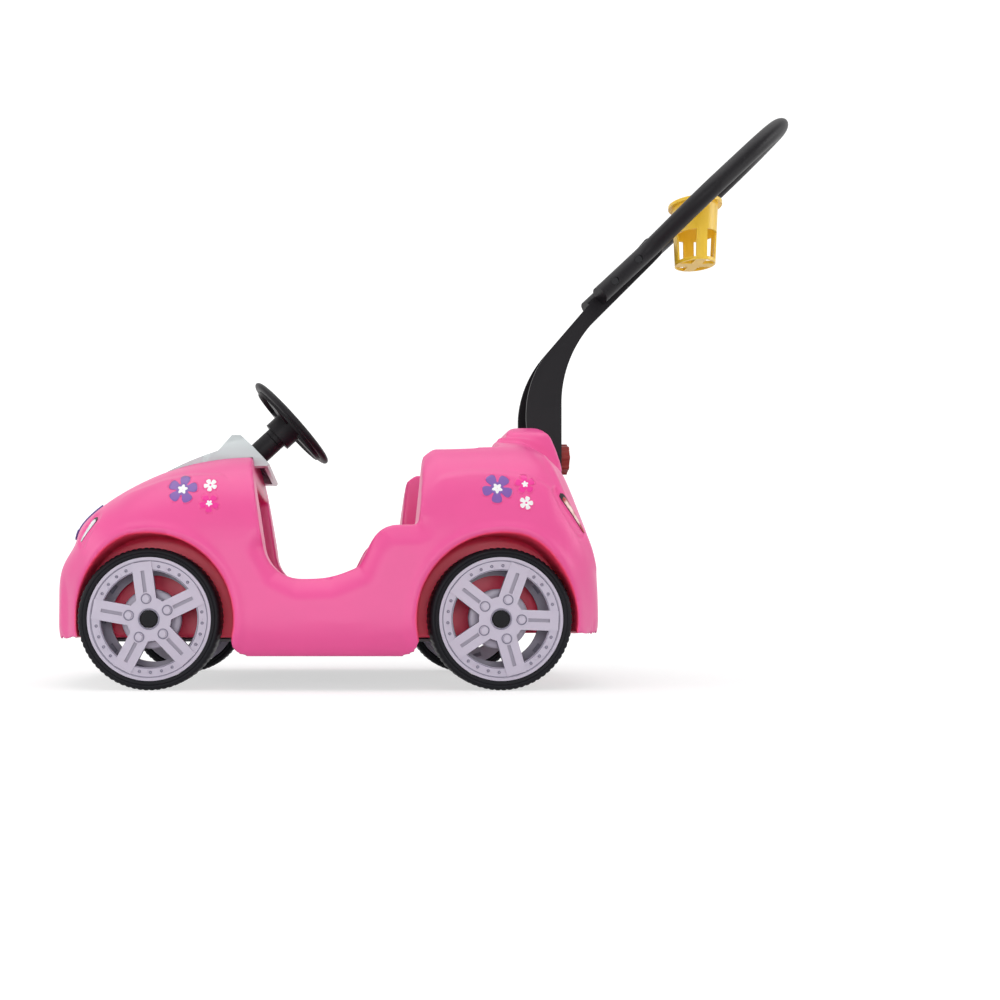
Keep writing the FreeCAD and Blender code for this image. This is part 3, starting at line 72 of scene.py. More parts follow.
def stand_in(name, mesh, node):
    """A new piece that shows in place of a CAD node and moves with it."""
    piece = bpy.data.objects.new(name, mesh)
    bpy.context.scene.collection.objects.link(piece)
    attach(piece, nodes[node]["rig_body"])
    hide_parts(node)
    return piece


def moulded(name, colour, roughness, grain=900.0, depth=0.00004, coat=0.0, shine=0.5):
    """Moulded plastic: a fine grain, faint cloudy colour and uneven gloss."""
    finish = bpy.data.materials.new(name)
    finish.use_nodes = True
    tree = finish.node_tree
    shader = tree.nodes["Principled BSDF"]
    place = tree.nodes.new("ShaderNodeTexCoord")
    cloud = tree.nodes.new("ShaderNodeTexNoise")
    cloud.inputs["Scale"].default_value = 9.0
    cloud.inputs["Detail"].default_value = 4.0
    tint = tree.nodes.new("ShaderNodeMix")
    tint.data_type = "RGBA"
    tint.inputs["A"].default_value = (*[c * 0.93 for c in colour], 1)
    tint.inputs["B"].default_value = (*[min(1.0, c * 1.06) for c in colour], 1)
    gloss = tree.nodes.new("ShaderNodeMapRange")
    gloss.inputs["To Min"].default_value = roughness * 0.85
    gloss.inputs["To Max"].default_value = roughness * 1.15
    skin = tree.nodes.new("ShaderNodeTexNoise")
    skin.inputs["Scale"].default_value = grain
    skin.inputs["Detail"].default_value = 2.0
    bump = tree.nodes.new("ShaderNodeBump")
    bump.inputs["Strength"].default_value = 0.5
    bump.inputs["Distance"].default_value = depth
    tree.links.new(place.outputs["Object"], cloud.inputs["Vector"])
    tree.links.new(place.outputs["Object"], skin.inputs["Vector"])
    tree.links.new(cloud.outputs["Fac"], tint.inputs["Factor"])
    tree.links.new(tint.outputs["Result"], shader.inputs["Base Color"])
    tree.links.new(cloud.outputs["Fac"], gloss.inputs["Value"])
    tree.links.new(gloss.outputs["Result"], shader.inputs["Roughness"])
    tree.links.new(skin.outputs["Fac"], bump.inputs["Height"])
    tree.links.new(bump.outputs["Normal"], shader.inputs["Normal"])
    shader.inputs["Specular IOR Level"].default_value = shine
    shader.inputs["Coat Weight"].default_value = coat
    shader.inputs["Coat Roughness"].default_value = 0.25
    return finish


def ramp(value, low, high):
    """Smooth rise from 0 to 1 between two values."""
    share = np.clip((value - low) / (high - low), 0.0, 1.0)
    return share * share * (3 - 2 * share)


def distance_to_line(x, z, line):
    """Distance in the side view from every point to a line of straight runs."""
    nearest = np.full(x.shape, 9.0)
    for (x0, z0), (x1, z1) in zip(line, line[1:]):
        run = (x1 - x0) ** 2 + (z1 - z0) ** 2
        share = np.clip(((x - x0) * (x1 - x0) + (z - z0) * (z1 - z0)) / run, 0.0, 1.0)
        gap = np.hypot(x - x0 - share * (x1 - x0), z - z0 - share * (z1 - z0))
        nearest = np.minimum(nearest, gap)
    return nearest


body = bpy.data.objects.new("body_moulding", nodes["body_shell"].data.copy())
bpy.context.scene.collection.objects.link(body)
remesh = body.modifiers.new("even_skin", "REMESH")
remesh.mode = "VOXEL"
remesh.voxel_size = 0.003
rounding = body.modifiers.new("soft_edges", "SMOOTH")
rounding.factor = 0.5
rounding.iterations = 10
depsgraph = bpy.context.evaluated_depsgraph_get()
skin_mesh = bpy.data.meshes.new_from_object(body.evaluated_get(depsgraph))
bpy.data.objects.remove(body)
count = len(skin_mesh.vertices)
points = np.zeros(count * 3)
skin_mesh.vertices.foreach_get("co", points)
points = points.reshape(-1, 3)
normals = np.zeros(count * 3)
skin_mesh.vertices.foreach_get("normal", normals)
normals = normals.reshape(-1, 3)
x, y, z = points.T
side = np.sign(y)
wide = np.abs(y)

# A rounded shoulder takes the outer edge off the sill under the door.
sill_edge = [(-0.240, 0.20), (-0.222, 0.168), (-0.195, 0.155), (-0.150, 0.156), (-0.110, 0.172),
             (-0.095, 0.205), (-0.078, 0.230), (-0.030, 0.232)]
shoulder_depth = 0.017
shoulder_width = 0.032
near_edge = 1 - np.clip(distance_to_line(x, z, sill_edge) / shoulder_width, 0.0, 1.0)
shoulder = shoulder_depth * near_edge ** 2 * (1 - ramp(z, 0.19, 0.27)) * ramp(wide, 0.195, 0.226)

# A line is raised along the top of each wing, and its lower side fades out.
outward = ramp(wide, 0.15, 0.17) * ramp(normals[:, 1] * side, 0.05, 0.3)
front_line = [(-0.46, 0.262), (-0.442, 0.280), (-0.386, 0.300), (-0.345, 0.306), (-0.305, 0.305),
              (-0.284, 0.290)]
rear_line = [(-0.012, 0.281), (0.010, 0.292), (0.045, 0.297), (0.086, 0.297), (0.128, 0.291),
             (0.160, 0.280), (0.180, 0.268)]
line_rise = 0.0046
line_end = 0.03
line_fade = 0.035
swell = np.zeros(count)
for line in (front_line, rear_line):
    line_x = [p[0] for p in line]
    line_z = [p[1] for p in line]
    below = np.interp(x, line_x, line_z) - z
    along = ramp(x, line_x[0], line_x[0] + line_end)
    along *= 1 - ramp(x, line_x[-1] - line_end, line_x[-1])
    fading = np.exp(-np.maximum(below, 0.0) / line_fade)
    swell += along * line_rise * ramp(below, -0.004, 0.004) * fading

# Each arch has a rolled lip, and its bumper end comes closer to the tyre.
arch = 0.119
lip_rise = 0.0026
lip_radius = 0.127
lip_width = 0.007
bumper_pull = 0.012
well_painted_shade = np.zeros(count)
pull_x = np.zeros(count)
pull_z = np.zeros(count)
for axle, bumper in (("front_axle", -1), ("rear_axle", 1)):
    low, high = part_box(axle)
    middle = (low + high) / 2
    off_x = x - middle.x
    off_z = z - middle.z
    ring = np.hypot(off_x, off_z)
    swell += lip_rise * np.exp(-((ring - lip_radius) / lip_width) ** 2)
    # Inside each arch the skin is marked for a crimson tint, which is painted shade.
    well_painted_shade += (1 - ramp(ring, arch + 0.0005, arch + 0.0035)) * ramp(wide, 0.149, 0.151)
    close = bumper_pull * ramp(bumper * off_x / ring, 0.2, 0.95) * ramp(wide, 0.155, 0.175)
    close *= ramp(ring, 0.108, 0.117) * (1 - ramp(ring, 0.123, 0.158))
    pull_x -= close * off_x / ring
    pull_z -= close * off_z / ring

# A ridge runs down each rear corner, and the lamps sit in narrow recesses.
rear_ridge = [(0.165, 0.324), (0.191, 0.279), (0.209, 0.248), (0.222, 0.215), (0.232, 0.182)]
ridge_rise = 0.0028
ridge_width = 0.007
from_ridge = distance_to_line(x, z, rear_ridge)
ridge = ridge_rise * np.exp(-(from_ridge / ridge_width) ** 2) * ramp(wide, 0.10, 0.14)
lamp_slits = {"headlamps": [(-0.5032, 0.209), (-0.4822, 0.245)],
              "tail_lamps": [(0.210, 0.221), (0.174, 0.277)]}
lamp_depth = 0.0030
sink = np.zeros(count)
for line in lamp_slits.values():
    from_lamp = distance_to_line(x, z, line)
    sink += lamp_depth * (1 - ramp(from_lamp, 0.0045, 0.0085)) * ramp(wide, 0.08, 0.11)

# The nose is hollowed above the bumper, the rear wings stand high, and the tail slopes forward
# under a low headrest.
nose_depth = 0.009
deck_rise = 0.017
headrest_fall = 0.008
headrest_shift = 0.012
tail_pull = 0.018
nose_hollow = nose_depth * np.exp(-((z - 0.207) / 0.024) ** 2) * ramp(-x, 0.495, 0.535)
deck = ramp(x, -0.027, 0.005) * (1 - ramp(x, 0.13, 0.20)) * ramp(wide, 0.03, 0.09)
lift = deck_rise * deck * ramp(z, 0.24, 0.335) * (1 - ramp(z, 0.352, 0.378))
headrest_drop = headrest_fall * ramp(z, 0.372, 0.40)
headrest_back = headrest_shift * ramp(z, 0.355, 0.38) * (1 - ramp(x, 0.12, 0.17)) * ramp(x, 0.05, 0.08)
tail_slope = tail_pull * np.exp(-((z - 0.275) / 0.065) ** 2) * ramp(x, 0.14, 0.22)

# The lower edges of nose and tail, which rise to the middle in the CAD, are drawn down level.
edge_drop = np.zeros(count)
nose_edge = [(0.045, 0.128), (0.06, 0.125), (0.08, 0.120), (0.10, 0.112), (0.12, 0.103),
             (0.14, 0.090), (0.15, 0.082), (0.16, 0.071), (0.20, 0.070)]
tail_edge = [(0.05, 0.153), (0.06, 0.151), (0.08, 0.146), (0.10, 0.139), (0.12, 0.131),
             (0.14, 0.120), (0.15, 0.113), (0.16, 0.105), (0.17, 0.097), (0.18, 0.086),
             (0.19, 0.079), (0.20, 0.078)]
nose_level = 0.070
tail_level = 0.078
at_nose = 1 - ramp(x, -0.536, -0.528)
at_tail = ramp(x, 0.2135, 0.2205) * ramp(wide, 0.039, 0.043)
lower_edges = [(nose_edge, nose_level, 0.21, at_nose), (tail_edge, tail_level, 0.28, at_tail)]
for line, level, start, end in lower_edges:
    edge = np.interp(wide, [p[0] for p in line], [p[1] for p in line])
    share = np.clip((start - z) / (start - edge), 0.0, 1.1)
    drop = (edge - level) * share ** 1.5
    away = z - drop - level
    straight = away * np.where(away > 0, 1 - ramp(away, 0.004, 0.018), 1.0)
    edge_drop += end * (drop + straight * ramp(share, 0.75, 0.85))

points[:, 0] += nose_hollow + pull_x + headrest_back - tail_slope
points[:, 1] = y - side * shoulder + side * swell * outward
points[:, 2] += pull_z + lift - headrest_drop - edge_drop
points += normals * (ridge - sink)[:, None] * ramp(normals[:, 1] * side, 0.0, 0.2)[:, None]
skin_mesh.vertices.foreach_set("co", points.ravel())
skin_mesh.update()
skin_mesh.shade_smooth()
shade = skin_mesh.attributes.new("well_painted_shade", "FLOAT", "POINT")
shade.data.foreach_set("value", well_painted_shade)
skin_faces = [tuple(p.vertices) for p in skin_mesh.polygons]
body_surface = BVHTree.FromPolygons([Vector(p) for p in points], skin_faces)
body = stand_in("body_moulding", skin_mesh, "body_shell")
lighter = body.modifiers.new("fewer_faces", "DECIMATE")
lighter.ratio = 0.35
pink = moulded("pink_polyethylene", (0.80, 0.078, 0.30), 0.40, coat=0.04)
tree = pink.node_tree
well = tree.nodes.new("ShaderNodeAttribute")
well.attribute_name = "well_painted_shade"
well_shade_mix = tree.nodes.new("ShaderNodeMix")
well_shade_mix.data_type = "RGBA"
# Painted shade: the wheel wells are mixed towards crimson to stand for their shade.
well_shade_mix.inputs["B"].default_value = (0.93, 0.045, 0.12, 1)
shader = tree.nodes["Principled BSDF"]
skin_colour = shader.inputs["Base Color"].links[0].from_socket
tree.links.new(well.outputs["Fac"], well_shade_mix.inputs["Factor"])
tree.links.new(skin_colour, well_shade_mix.inputs["A"])
tree.links.new(well_shade_mix.outputs["Result"], shader.inputs["Base Color"])
body.data.materials.clear()
body.data.materials.append(pink)


# Under pan and its screws: a flat sheet moulding in dark grey plastic that closes the underside.
# Six zinc-plated self-tapping screws hold it up.
def softened(node, radius, reshape=None, merge=True):
    """Copy of a CAD node with rounded edges, and with its flat faces merged unless merge is off."""
    mesh = nodes[node].data.copy()
    work = bmesh.new()
    work.from_mesh(mesh)
    bmesh.ops.remove_doubles(work, verts=work.verts, dist=0.00001)
    if merge:
        nearly_flat = math.radians(0.6)
        bmesh.ops.dissolve_limit(work, angle_limit=nearly_flat, verts=work.verts, edges=work.edges)
    if reshape:
        reshape(work)
    work.to_mesh(mesh)
    work.free()
    mesh.shade_smooth()
    piece = stand_in(node + "_soft", mesh, node)
    edges = piece.modifiers.new("round_edges", "BEVEL")
    edges.width = radius
    edges.segments = 3
    edges.limit_method = "ANGLE"
    edges.angle_limit = math.radians(38)
    faces = piece.modifiers.new("even_shading", "WEIGHTED_NORMAL")
    faces.keep_sharp = False
    return piece


def wears(piece, finish):
    piece.data.materials.clear()
    piece.data.materials.append(finish)


pan_plastic = moulded("grey_pan_plastic", (0.10, 0.10, 0.11), 0.55)
wears(softened("under_pan", 0.001), pan_plastic)


def plated(name, colour, roughness):
    """Plated steel with fine drawn lines."""
    finish = bpy.data.materials.new(name)
    finish.use_nodes = True
    tree = finish.node_tree
    shader = tree.nodes["Principled BSDF"]
    shader.inputs["Base Color"].default_value = (*colour, 1)
    shader.inputs["Metallic"].default_value = 1.0
    place = tree.nodes.new("ShaderNodeTexCoord")
    lines = tree.nodes.new("ShaderNodeTexNoise")
    lines.inputs["Scale"].default_value = 350.0
    lines.inputs["Detail"].default_value = 3.0
    gloss = tree.nodes.new("ShaderNodeMapRange")
    gloss.inputs["To Min"].default_value = roughness * 0.7
    gloss.inputs["To Max"].default_value = roughness * 1.3
    tree.links.new(place.outputs["Object"], lines.inputs["Vector"])
    tree.links.new(lines.outputs["Fac"], gloss.inputs["Value"])
    tree.links.new(gloss.outputs["Result"], shader.inputs["Roughness"])
    return finish


zinc = plated("zinc_plate", (0.66, 0.66, 0.68), 0.34)
wears(softened("pan_screws", 0.0005), zinc)


# Axles, washers and caps: steel rods right across, a nylon washer inside each wheel and a
# black push-on cap outside it.
for node in ("front_axle", "rear_axle"):
    wears(softened(node, 0.0006), zinc)
nylon = moulded("natural_nylon", (0.72, 0.71, 0.68), 0.45)
wears(softened("axle_washers", 0.0004), nylon)
black_cap = moulded("black_cap_plastic", (0.009, 0.009, 0.011), 0.45, shine=0.12)
wears(softened("axle_caps", 0.0012), black_cap)


# Tyres: hard black blow-moulded rings with a notched tread and a groove in each wall, pushed
# over the rims.
def close_loops(work, loops):
    """Faces from each loop of points to the next, and from the last to the first."""
    for loop, ahead in zip(loops, loops[1:] + loops[:1]):
        for k in range(len(loop)):
            after = (k + 1) % len(loop)
            work.faces.new((loop[k], loop[after], ahead[after], ahead[k]))


def smooth_mesh(work, name):
    mesh = bpy.data.meshes.new(name)
    work.to_mesh(mesh)
    work.free()
    mesh.shade_smooth()
    return mesh


notch_depth = 0.0010


def tyre_mesh(node, steps=216, notches=72):
    low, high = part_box(node)
    middle = (low + high) / 2
    outer = (high.z - low.z) / 2
    half = (high.y - low.y) / 2
    wall = [(0.0870, 0.94), (0.0888, 0.985), (0.0908, 1.0), (0.0918, 0.995), (0.0922, 0.955),
            (0.0928, 0.955), (0.0932, 0.99), (0.0955, 0.98), (0.0982, 0.93), (outer, 0.80)]
    section = [(radius, -across) for radius, across in wall] + wall[::-1]
    shoulder = (len(wall) - 2, len(wall) - 1, len(wall), len(wall) + 1)
    per_notch = steps // notches
    ring = bmesh.new()
    loops = []
    for i in range(steps):
        turn = 2 * math.pi * i / steps
        loop = []
        for k, (radius, across) in enumerate(section):
            if k in shoulder and i % per_notch == 0:
                radius -= notch_depth
            loop.append(ring.verts.new((middle.x + radius * math.cos(turn), middle.y + half * across,
                                        middle.z + radius * math.sin(turn))))
        loops.append(loop)
    close_loops(ring, loops)
    bmesh.ops.recalc_face_normals(ring, faces=ring.faces)
    return smooth_mesh(ring, node + "_tread")


tyre_black = moulded("tyre_black", (0.008, 0.008, 0.011), 0.5, grain=500.0, depth=0.0001,
                     shine=0.14)
corners = [end + "_" + hand for end in ("front", "rear") for hand in ("left", "right")]
for corner in corners:
    node = corner + "_tyre"
    wears(stand_in(node + "_tread", tyre_mesh(node), node), tyre_black)


# Wheels: a silver-lilac five-spoke face snapped onto a grey inner half, turning on a nylon bush.
# Its recesses carry painted shade in darker greys, and a collar ring is moulded round each lug
# and the hub in a dark grey that is painted shade.
rim_silver = moulded("silver_lilac_rim", (0.52, 0.475, 0.58), 0.34, grain=700.0)
# Painted shade: the darker greys below stand for shade in the rims' walls, grooves and rings.
rim_shadow = moulded("rim_recess_painted_shade", (0.25, 0.235, 0.31), 0.5, grain=700.0, shine=0.3)
rim_groove_shade = moulded("spoke_groove_painted_shade", (0.38, 0.35, 0.43), 0.45, grain=700.0, shine=0.3)
rim_grey = moulded("grey_inner_rim", (0.40, 0.37, 0.46), 0.42)
spoke_turn = {"front": 97.6, "rear": 70.0}
lug_reach = 0.0286
lug_rise = 0.0022
lug_collar = 0.0068
hub_collar = 0.0142
groove_depth = 0.0020
band_edges = (0.0690, 0.0812)
band_sink = 0.0015
rivet_reach = 0.0745
rivet_sink = 0.0011
rivet_places = (18, 30, 42, 54)
spoke_end_size = (0.0105, 0.0017, 0.028)
spoke_end_reach = 0.0748
spoke_end_sink = 0.00075
drum_section = [(0.020, 0.199), (0.039, 0.199), (0.0415, 0.198), (0.0425, 0.1955),
                (0.0425, 0.186), (0.020, 0.186)]
guard_section = [(0.0675, 0.1702), (0.0675, 0.1714), (0.0832, 0.1714), (0.0832, 0.1702)]


def add_ring(work, centre, radius, tube, steps=40, sides=10):
    """A round ring in the side view."""
    loops = []
    for i in range(steps):
        turn = 2 * math.pi * i / steps
        loop = []
        for k in range(sides):
            around = 2 * math.pi * k / sides
            reach = radius + tube * math.cos(around)
            across = centre.y + tube * math.sin(around)
            loop.append(work.verts.new((centre.x + reach * math.cos(turn), across,
                                        centre.z + reach * math.sin(turn))))
        loops.append(loop)
    close_loops(work, loops)


def turned_mesh(name, middle, hand, section, steps=96):
    """A ring about the axle from a closed line of radius and distance from the car's middle."""
    ring = bmesh.new()
    loops = []
    for i in range(steps):
        turn = 2 * math.pi * i / steps
        loops.append([ring.verts.new((middle.x + radius * math.cos(turn), hand * across,
                                      middle.z + radius * math.sin(turn)))
                      for radius, across in section])
    close_loops(ring, loops)
    bmesh.ops.recalc_face_normals(ring, faces=ring.faces)
    return smooth_mesh(ring, name)


def extra(name, mesh, body_name):
    """A piece that shows beside the CAD and moves with a body."""
    piece = bpy.data.objects.new(name, mesh)
    bpy.context.scene.collection.objects.link(piece)
    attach(piece, body_name)
    return piece


def on_wheel(middle, hand, reach, degrees, height):
    """Point at a reach and angle from the axle and a height from the car's middle."""
    turn = math.radians(degrees)
    return Vector((middle.x + reach * math.cos(turn), hand * height,
                   middle.z + reach * math.sin(turn)))


for corner in corners:
    node = corner + "_wheel_face"
    moves_with = nodes[node]["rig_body"]
    face = softened(node, 0.0007, merge=False)
    wears(face, rim_silver)
    face.data.materials.append(rim_shadow)
    face.data.materials.append(rim_groove_shade)
    low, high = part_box(node)
    hand = 1 if high.y > 0 else -1
    flat = max(abs(low.y), abs(high.y)) - lug_rise
    # Groove floors and steep wall faces take the darker greys as painted shade.
    for patch in face.data.polygons:
        if abs(abs(patch.center.y) - flat + groove_depth) < 0.0002:
            patch.material_index = 2
        elif abs(patch.normal.y) < 0.3 and patch.area > 2e-7:
            patch.material_index = 1
    middle = (low + high) / 2
    # The collar, rivet and band rings are drawn dark: painted shade round the lugs, hub, rivets and
    # band.
    rings = bmesh.new()
    pads = bmesh.new()
    first = spoke_turn[corner.split("_")[0]]
    for i in range(5):
        degrees = first + 72 * i
        add_ring(rings, on_wheel(middle, hand, lug_reach, degrees, flat), lug_collar, 0.0008)
        spin = Matrix.Rotation(-math.radians(degrees), 4, "Y")
        shape = Matrix.Diagonal((*spoke_end_size, 1))
        shift = Matrix.Translation((spoke_end_reach, 0, 0))
        put = Matrix.Translation((middle.x, hand * (flat - spoke_end_sink), middle.z))
        bmesh.ops.create_cube(pads, size=1.0, matrix=put @ spin @ shift @ shape)
        for off in rivet_places:
            rivet = on_wheel(middle, hand, rivet_reach, degrees + off, flat - rivet_sink)
            add_ring(rings, rivet, 0.0015, 0.0008, steps=16)
    add_ring(rings, on_wheel(middle, hand, 0.0, 0.0, flat), hub_collar, 0.0010)
    for radius in band_edges:
        add_ring(rings, on_wheel(middle, hand, 0.0, 0.0, flat - band_sink), radius, 0.0006, steps=120)
    bmesh.ops.recalc_face_normals(rings, faces=rings.faces)
    ring_mesh = smooth_mesh(rings, corner + "_lug_rings_painted_shade")
    wears(extra(corner + "_lug_rings_painted_shade", ring_mesh, moves_with), rim_shadow)
    bmesh.ops.bevel(pads, geom=pads.edges[:], offset=0.0005, segments=2, affect="EDGES")
    pad_mesh = bpy.data.meshes.new(corner + "_spoke_ends")
    pads.to_mesh(pad_mesh)
    pads.free()
    wears(extra(corner + "_spoke_ends", pad_mesh, moves_with), rim_silver)
    wears(softened(corner + "_wheel_back", 0.0007), rim_grey)
    drum = turned_mesh(corner + "_drum", middle, hand, drum_section)
    wears(extra(corner + "_drum", drum, moves_with), rim_silver)
    # A dark ring behind the windows: painted shade seen through the slots.
    guard = turned_mesh(corner + "_guard_painted_shade", middle, hand, guard_section)
    wears(extra(corner + "_guard_painted_shade", guard, moves_with), rim_shadow)
    wears(softened(corner + "_hub_bush", 0.0004), nylon)


# Dashboard: a silver plastic moulding that sits over the rear of the bonnet. Its front strip
# thins out to nothing on the bonnet's curve, and its ridge is low.
strip_run = 0.075
strip_slope = 0.17
ridge_foot = 0.375
ridge_drop = 0.010


def thin_front(work):
    low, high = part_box("dash_panel")
    strip_end = low.x + strip_run
    cuts = [(Vector((0, y, 0)), Vector((0, 1, 0))) for y in np.arange(-0.12, 0.121, 0.012)]
    cuts += [(Vector((x, 0, 0)), Vector((1, 0, 0)))
             for x in np.arange(low.x + 0.008, strip_end, 0.008)]
    for spot, normal in cuts:
        parts = work.verts[:] + work.edges[:] + work.faces[:]
        bmesh.ops.bisect_plane(work, geom=parts, plane_co=spot, plane_no=normal)
    for vert in work.verts:
        if vert.co.x > strip_end:
            continue
        under = body_surface.ray_cast(Vector((vert.co.x, vert.co.y, 0.6)), Vector((0, 0, -1)))[0]
        if under and under.z > 0.2:
            limit = under.z + 0.0006 + strip_slope * (vert.co.x - low.x)
            vert.co.z = min(vert.co.z, limit)
    for vert in work.verts:
        vert.co.z -= ridge_drop * max(0.0, (vert.co.z - ridge_foot) / (high.z - ridge_foot))


dash_silver = moulded("silver_dash_plastic", (0.50, 0.54, 0.55), 0.30, coat=0.15)
wears(softened("dash_panel", 0.0016, thin_front), dash_silver)


# Steering: a black moulded wheel on a zinc-plated shaft that turns in a black sleeve. A collar
# holds the shaft from behind the dashboard.
black_grain = moulded("black_grained_plastic", (0.011, 0.010, 0.012), 0.45, grain=650.0,
                      depth=0.0001, shine=0.16)
wears(softened("column_sleeve", 0.0012), black_grain)
turning = next(joint for joint in frame["joints"] if joint["name"] == "steering_turn")
rim_reach = 0.07
rim_squash = 0.36


def flat_rim(work):
    """The rim is flatter along the column than it is wide."""
    axis = Vector(turning["axis"]).normalized()
    base = Vector(turning["pos_m"])
    places = []
    for vert in work.verts:
        height = (vert.co - base).dot(axis)
        places.append((vert, height, (vert.co - base - axis * height).length))
    top = max(height for _, height, reach in places if reach > rim_reach)
    for vert, height, reach in places:
        if reach > rim_reach:
            vert.co -= axis * (height - top) * rim_squash


wears(softened("steering_wheel", 0.0016, flat_rim), black_grain)
for node in ("steering_shaft", "shaft_collar"):
    wears(softened(node, 0.0005), zinc)


# Horn button: a loose moulded disc in dark grey, in the middle of the steering wheel. A spring
# under it pushes it back.
horn_grey = moulded("dark_grey_button", (0.06, 0.06, 0.065), 0.35)
wears(softened("horn_button", 0.0015), horn_grey)


# Push handle: a black ribbed stem that pivots on a steel rod in the tail. An oval grip loop is
# fixed to its upper end with black bolts and nuts.
wears(softened("handle_stem", 0.0035), black_grain)
wears(softened("handle_loop", 0.0012), black_grain)
black_oxide = plated("black_oxide_steel", (0.03, 0.03, 0.032), 0.45)
for node in ("handle_bolts", "handle_nuts"):
    wears(softened(node, 0.0005), black_oxide)
wears(softened("pivot_rod", 0.0005), zinc)


# Lock knob: a red scalloped knob on a steel stud that screws through the stem into a threaded
# insert in the body. A washer keeps it on the stem.
knob_red = moulded("red_knob_plastic", (0.28, 0.018, 0.014), 0.4, shine=0.3)
wears(softened("lock_knob", 0.0016), knob_red)
for node in ("lock_washer", "lock_stud", "lock_nut"):
    wears(softened(node, 0.0003), zinc)


# Cup holder: a yellow moulded basket with four legs, hung on two pins between the bars of the
# grip so that it swings.
cup_yellow = moulded("yellow_cup_plastic", (0.90, 0.58, 0.035), 0.34, coat=0.1)
wears(softened("cup_holder", 0.0010), cup_yellow)


# Lamps: narrow slits sunk in the corners of the body, each with a dark surround and a
# lens that is widest at its upper end; its pale streaks are painted highlight.
def on_body(x, z, hand, lift):
    """Point on the body's side at a place in the side view, lifted off the skin."""
    spot, normal, _, _ = body_surface.ray_cast(Vector((x, hand * 0.5, z)), Vector((0, -hand, 0)))
    return spot + normal * lift


def slit_mesh(name, line, half_width, lift, rows=28, columns=6):
    """A narrow sheet on each side of the body that widens towards the end of its line."""
    (foot_x, foot_z), (top_x, top_z) = line
    length = math.hypot(top_x - foot_x, top_z - foot_z)
    along = ((top_x - foot_x) / length, (top_z - foot_z) / length)
    sheet = bmesh.new()
    for hand in (-1, 1):
        grid = []
        for i in range(rows + 1):
            share = i / rows
            ends = math.sqrt(max(0.0, 1 - (2 * share - 1) ** 8))
            half = half_width * ends * (0.25 + 0.75 * share)
            row = []
            for k in range(columns + 1):
                across = half * (2 * k / columns - 1)
                reach = length * share
                spot_x = foot_x + along[0] * reach + along[1] * across
                spot_z = foot_z + along[1] * reach - along[0] * across
                row.append(sheet.verts.new(on_body(spot_x, spot_z, hand, lift)))
            grid.append(row)
        for low, high in zip(grid, grid[1:]):
            for k in range(columns):
                quad = (low[k], low[k + 1], high[k + 1], high[k])
                sheet.faces.new(quad if hand < 0 else quad[::-1])
    return smooth_mesh(sheet, name)


def thicken(piece, thickness):
    film = piece.modifiers.new("film", "SOLIDIFY")
    film.thickness = thickness
    film.offset = -1.0


def streaked(name, dark, highlight_colour, spread):
    """Lens in its base colour, with pale streaks along the lamp that are painted highlight."""
    finish = moulded(name, dark, 0.2)
    tree = finish.node_tree
    place = tree.nodes.new("ShaderNodeTexCoord")
    streaks = tree.nodes.new("ShaderNodeTexNoise")
    streaks.inputs["Scale"].default_value = spread
    streaks.inputs["Detail"].default_value = 1.0
    bands = tree.nodes.new("ShaderNodeValToRGB")
    bands.color_ramp.elements[0].position = 0.42
    bands.color_ramp.elements[0].color = (*dark, 1)
    bands.color_ramp.elements[1].position = 0.62
    bands.color_ramp.elements[1].color = (*highlight_colour, 1)
    tree.links.new(place.outputs["Object"], streaks.inputs["Vector"])
    tree.links.new(streaks.outputs["Fac"], bands.inputs["Fac"])
    tree.links.new(bands.outputs["Color"], tree.nodes["Principled BSDF"].inputs["Base Color"])
    return finish


# The pale streaks on both lenses are painted highlight; the darker colour is the lens's own.
lens_highlighted = {"headlamps": streaked("clear_lens_painted_highlight", (0.72, 0.73, 0.76), (0.95, 0.95, 0.96), 60.0),
              "tail_lamps": streaked("red_lens_painted_highlight", (0.42, 0.05, 0.05), (0.85, 0.62, 0.55), 70.0)}
surround_black = moulded("dark_lamp_surround", (0.02, 0.018, 0.02), 0.4, shine=0.3)
lens_half = {"headlamps": 0.0038, "tail_lamps": 0.0034}
surround_half = {"headlamps": 0.0046, "tail_lamps": 0.0048}
for node, (foot, top) in lamp_slits.items():
    lens_top = (foot[0] + 0.9 * (top[0] - foot[0]), foot[1] + 0.9 * (top[1] - foot[1]))
    lens = slit_mesh(node + "_lens", (foot, lens_top), lens_half[node], 0.0009)
    lens = stand_in(node + "_lens", lens, node)
    thicken(lens, 0.0006)
    wears(lens, lens_highlighted[node])
    rim = slit_mesh(node + "_surround", (foot, top), surround_half[node], 0.0004)
    rim = extra(node + "_surround", rim, "car")
    thicken(rim, 0.0003)
    wears(rim, surround_black)


# Grille: a thin violet moulding pressed onto the nose, thicker along its lower edge, that
# follows the curve of the bonnet.
def nose_plate_mesh(rows=24, columns=80):
    low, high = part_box("grille_plate")
    sheet = bmesh.new()
    grid = []
    for i in range(rows + 1):
        share = i / rows
        up = low.z + (high.z - low.z) * share
        half = (0.136 + 0.006 * share) * (1 - abs(2 * share - 1) ** 8 * 0.06)
        lift = 0.0034 if share < 0.28 else 0.0022
        row = []
        for k in range(columns + 1):
            across = half * (2 * k / columns - 1)
            spot, normal, _, _ = body_surface.ray_cast(Vector((-1.0, across, up)), Vector((1, 0, 0)))
            row.append(sheet.verts.new(spot + normal * lift))
        grid.append(row)
    for below, above in zip(grid, grid[1:]):
        for k in range(columns):
            sheet.faces.new((below[k], above[k], above[k + 1], below[k + 1]))
    return smooth_mesh(sheet, "nose_plate")


violet = moulded("violet_grille_plastic", (0.095, 0.065, 0.27), 0.3)
plate = stand_in("nose_plate", nose_plate_mesh(), "grille_plate")
thicken(plate, 0.0030)
wears(plate, violet)


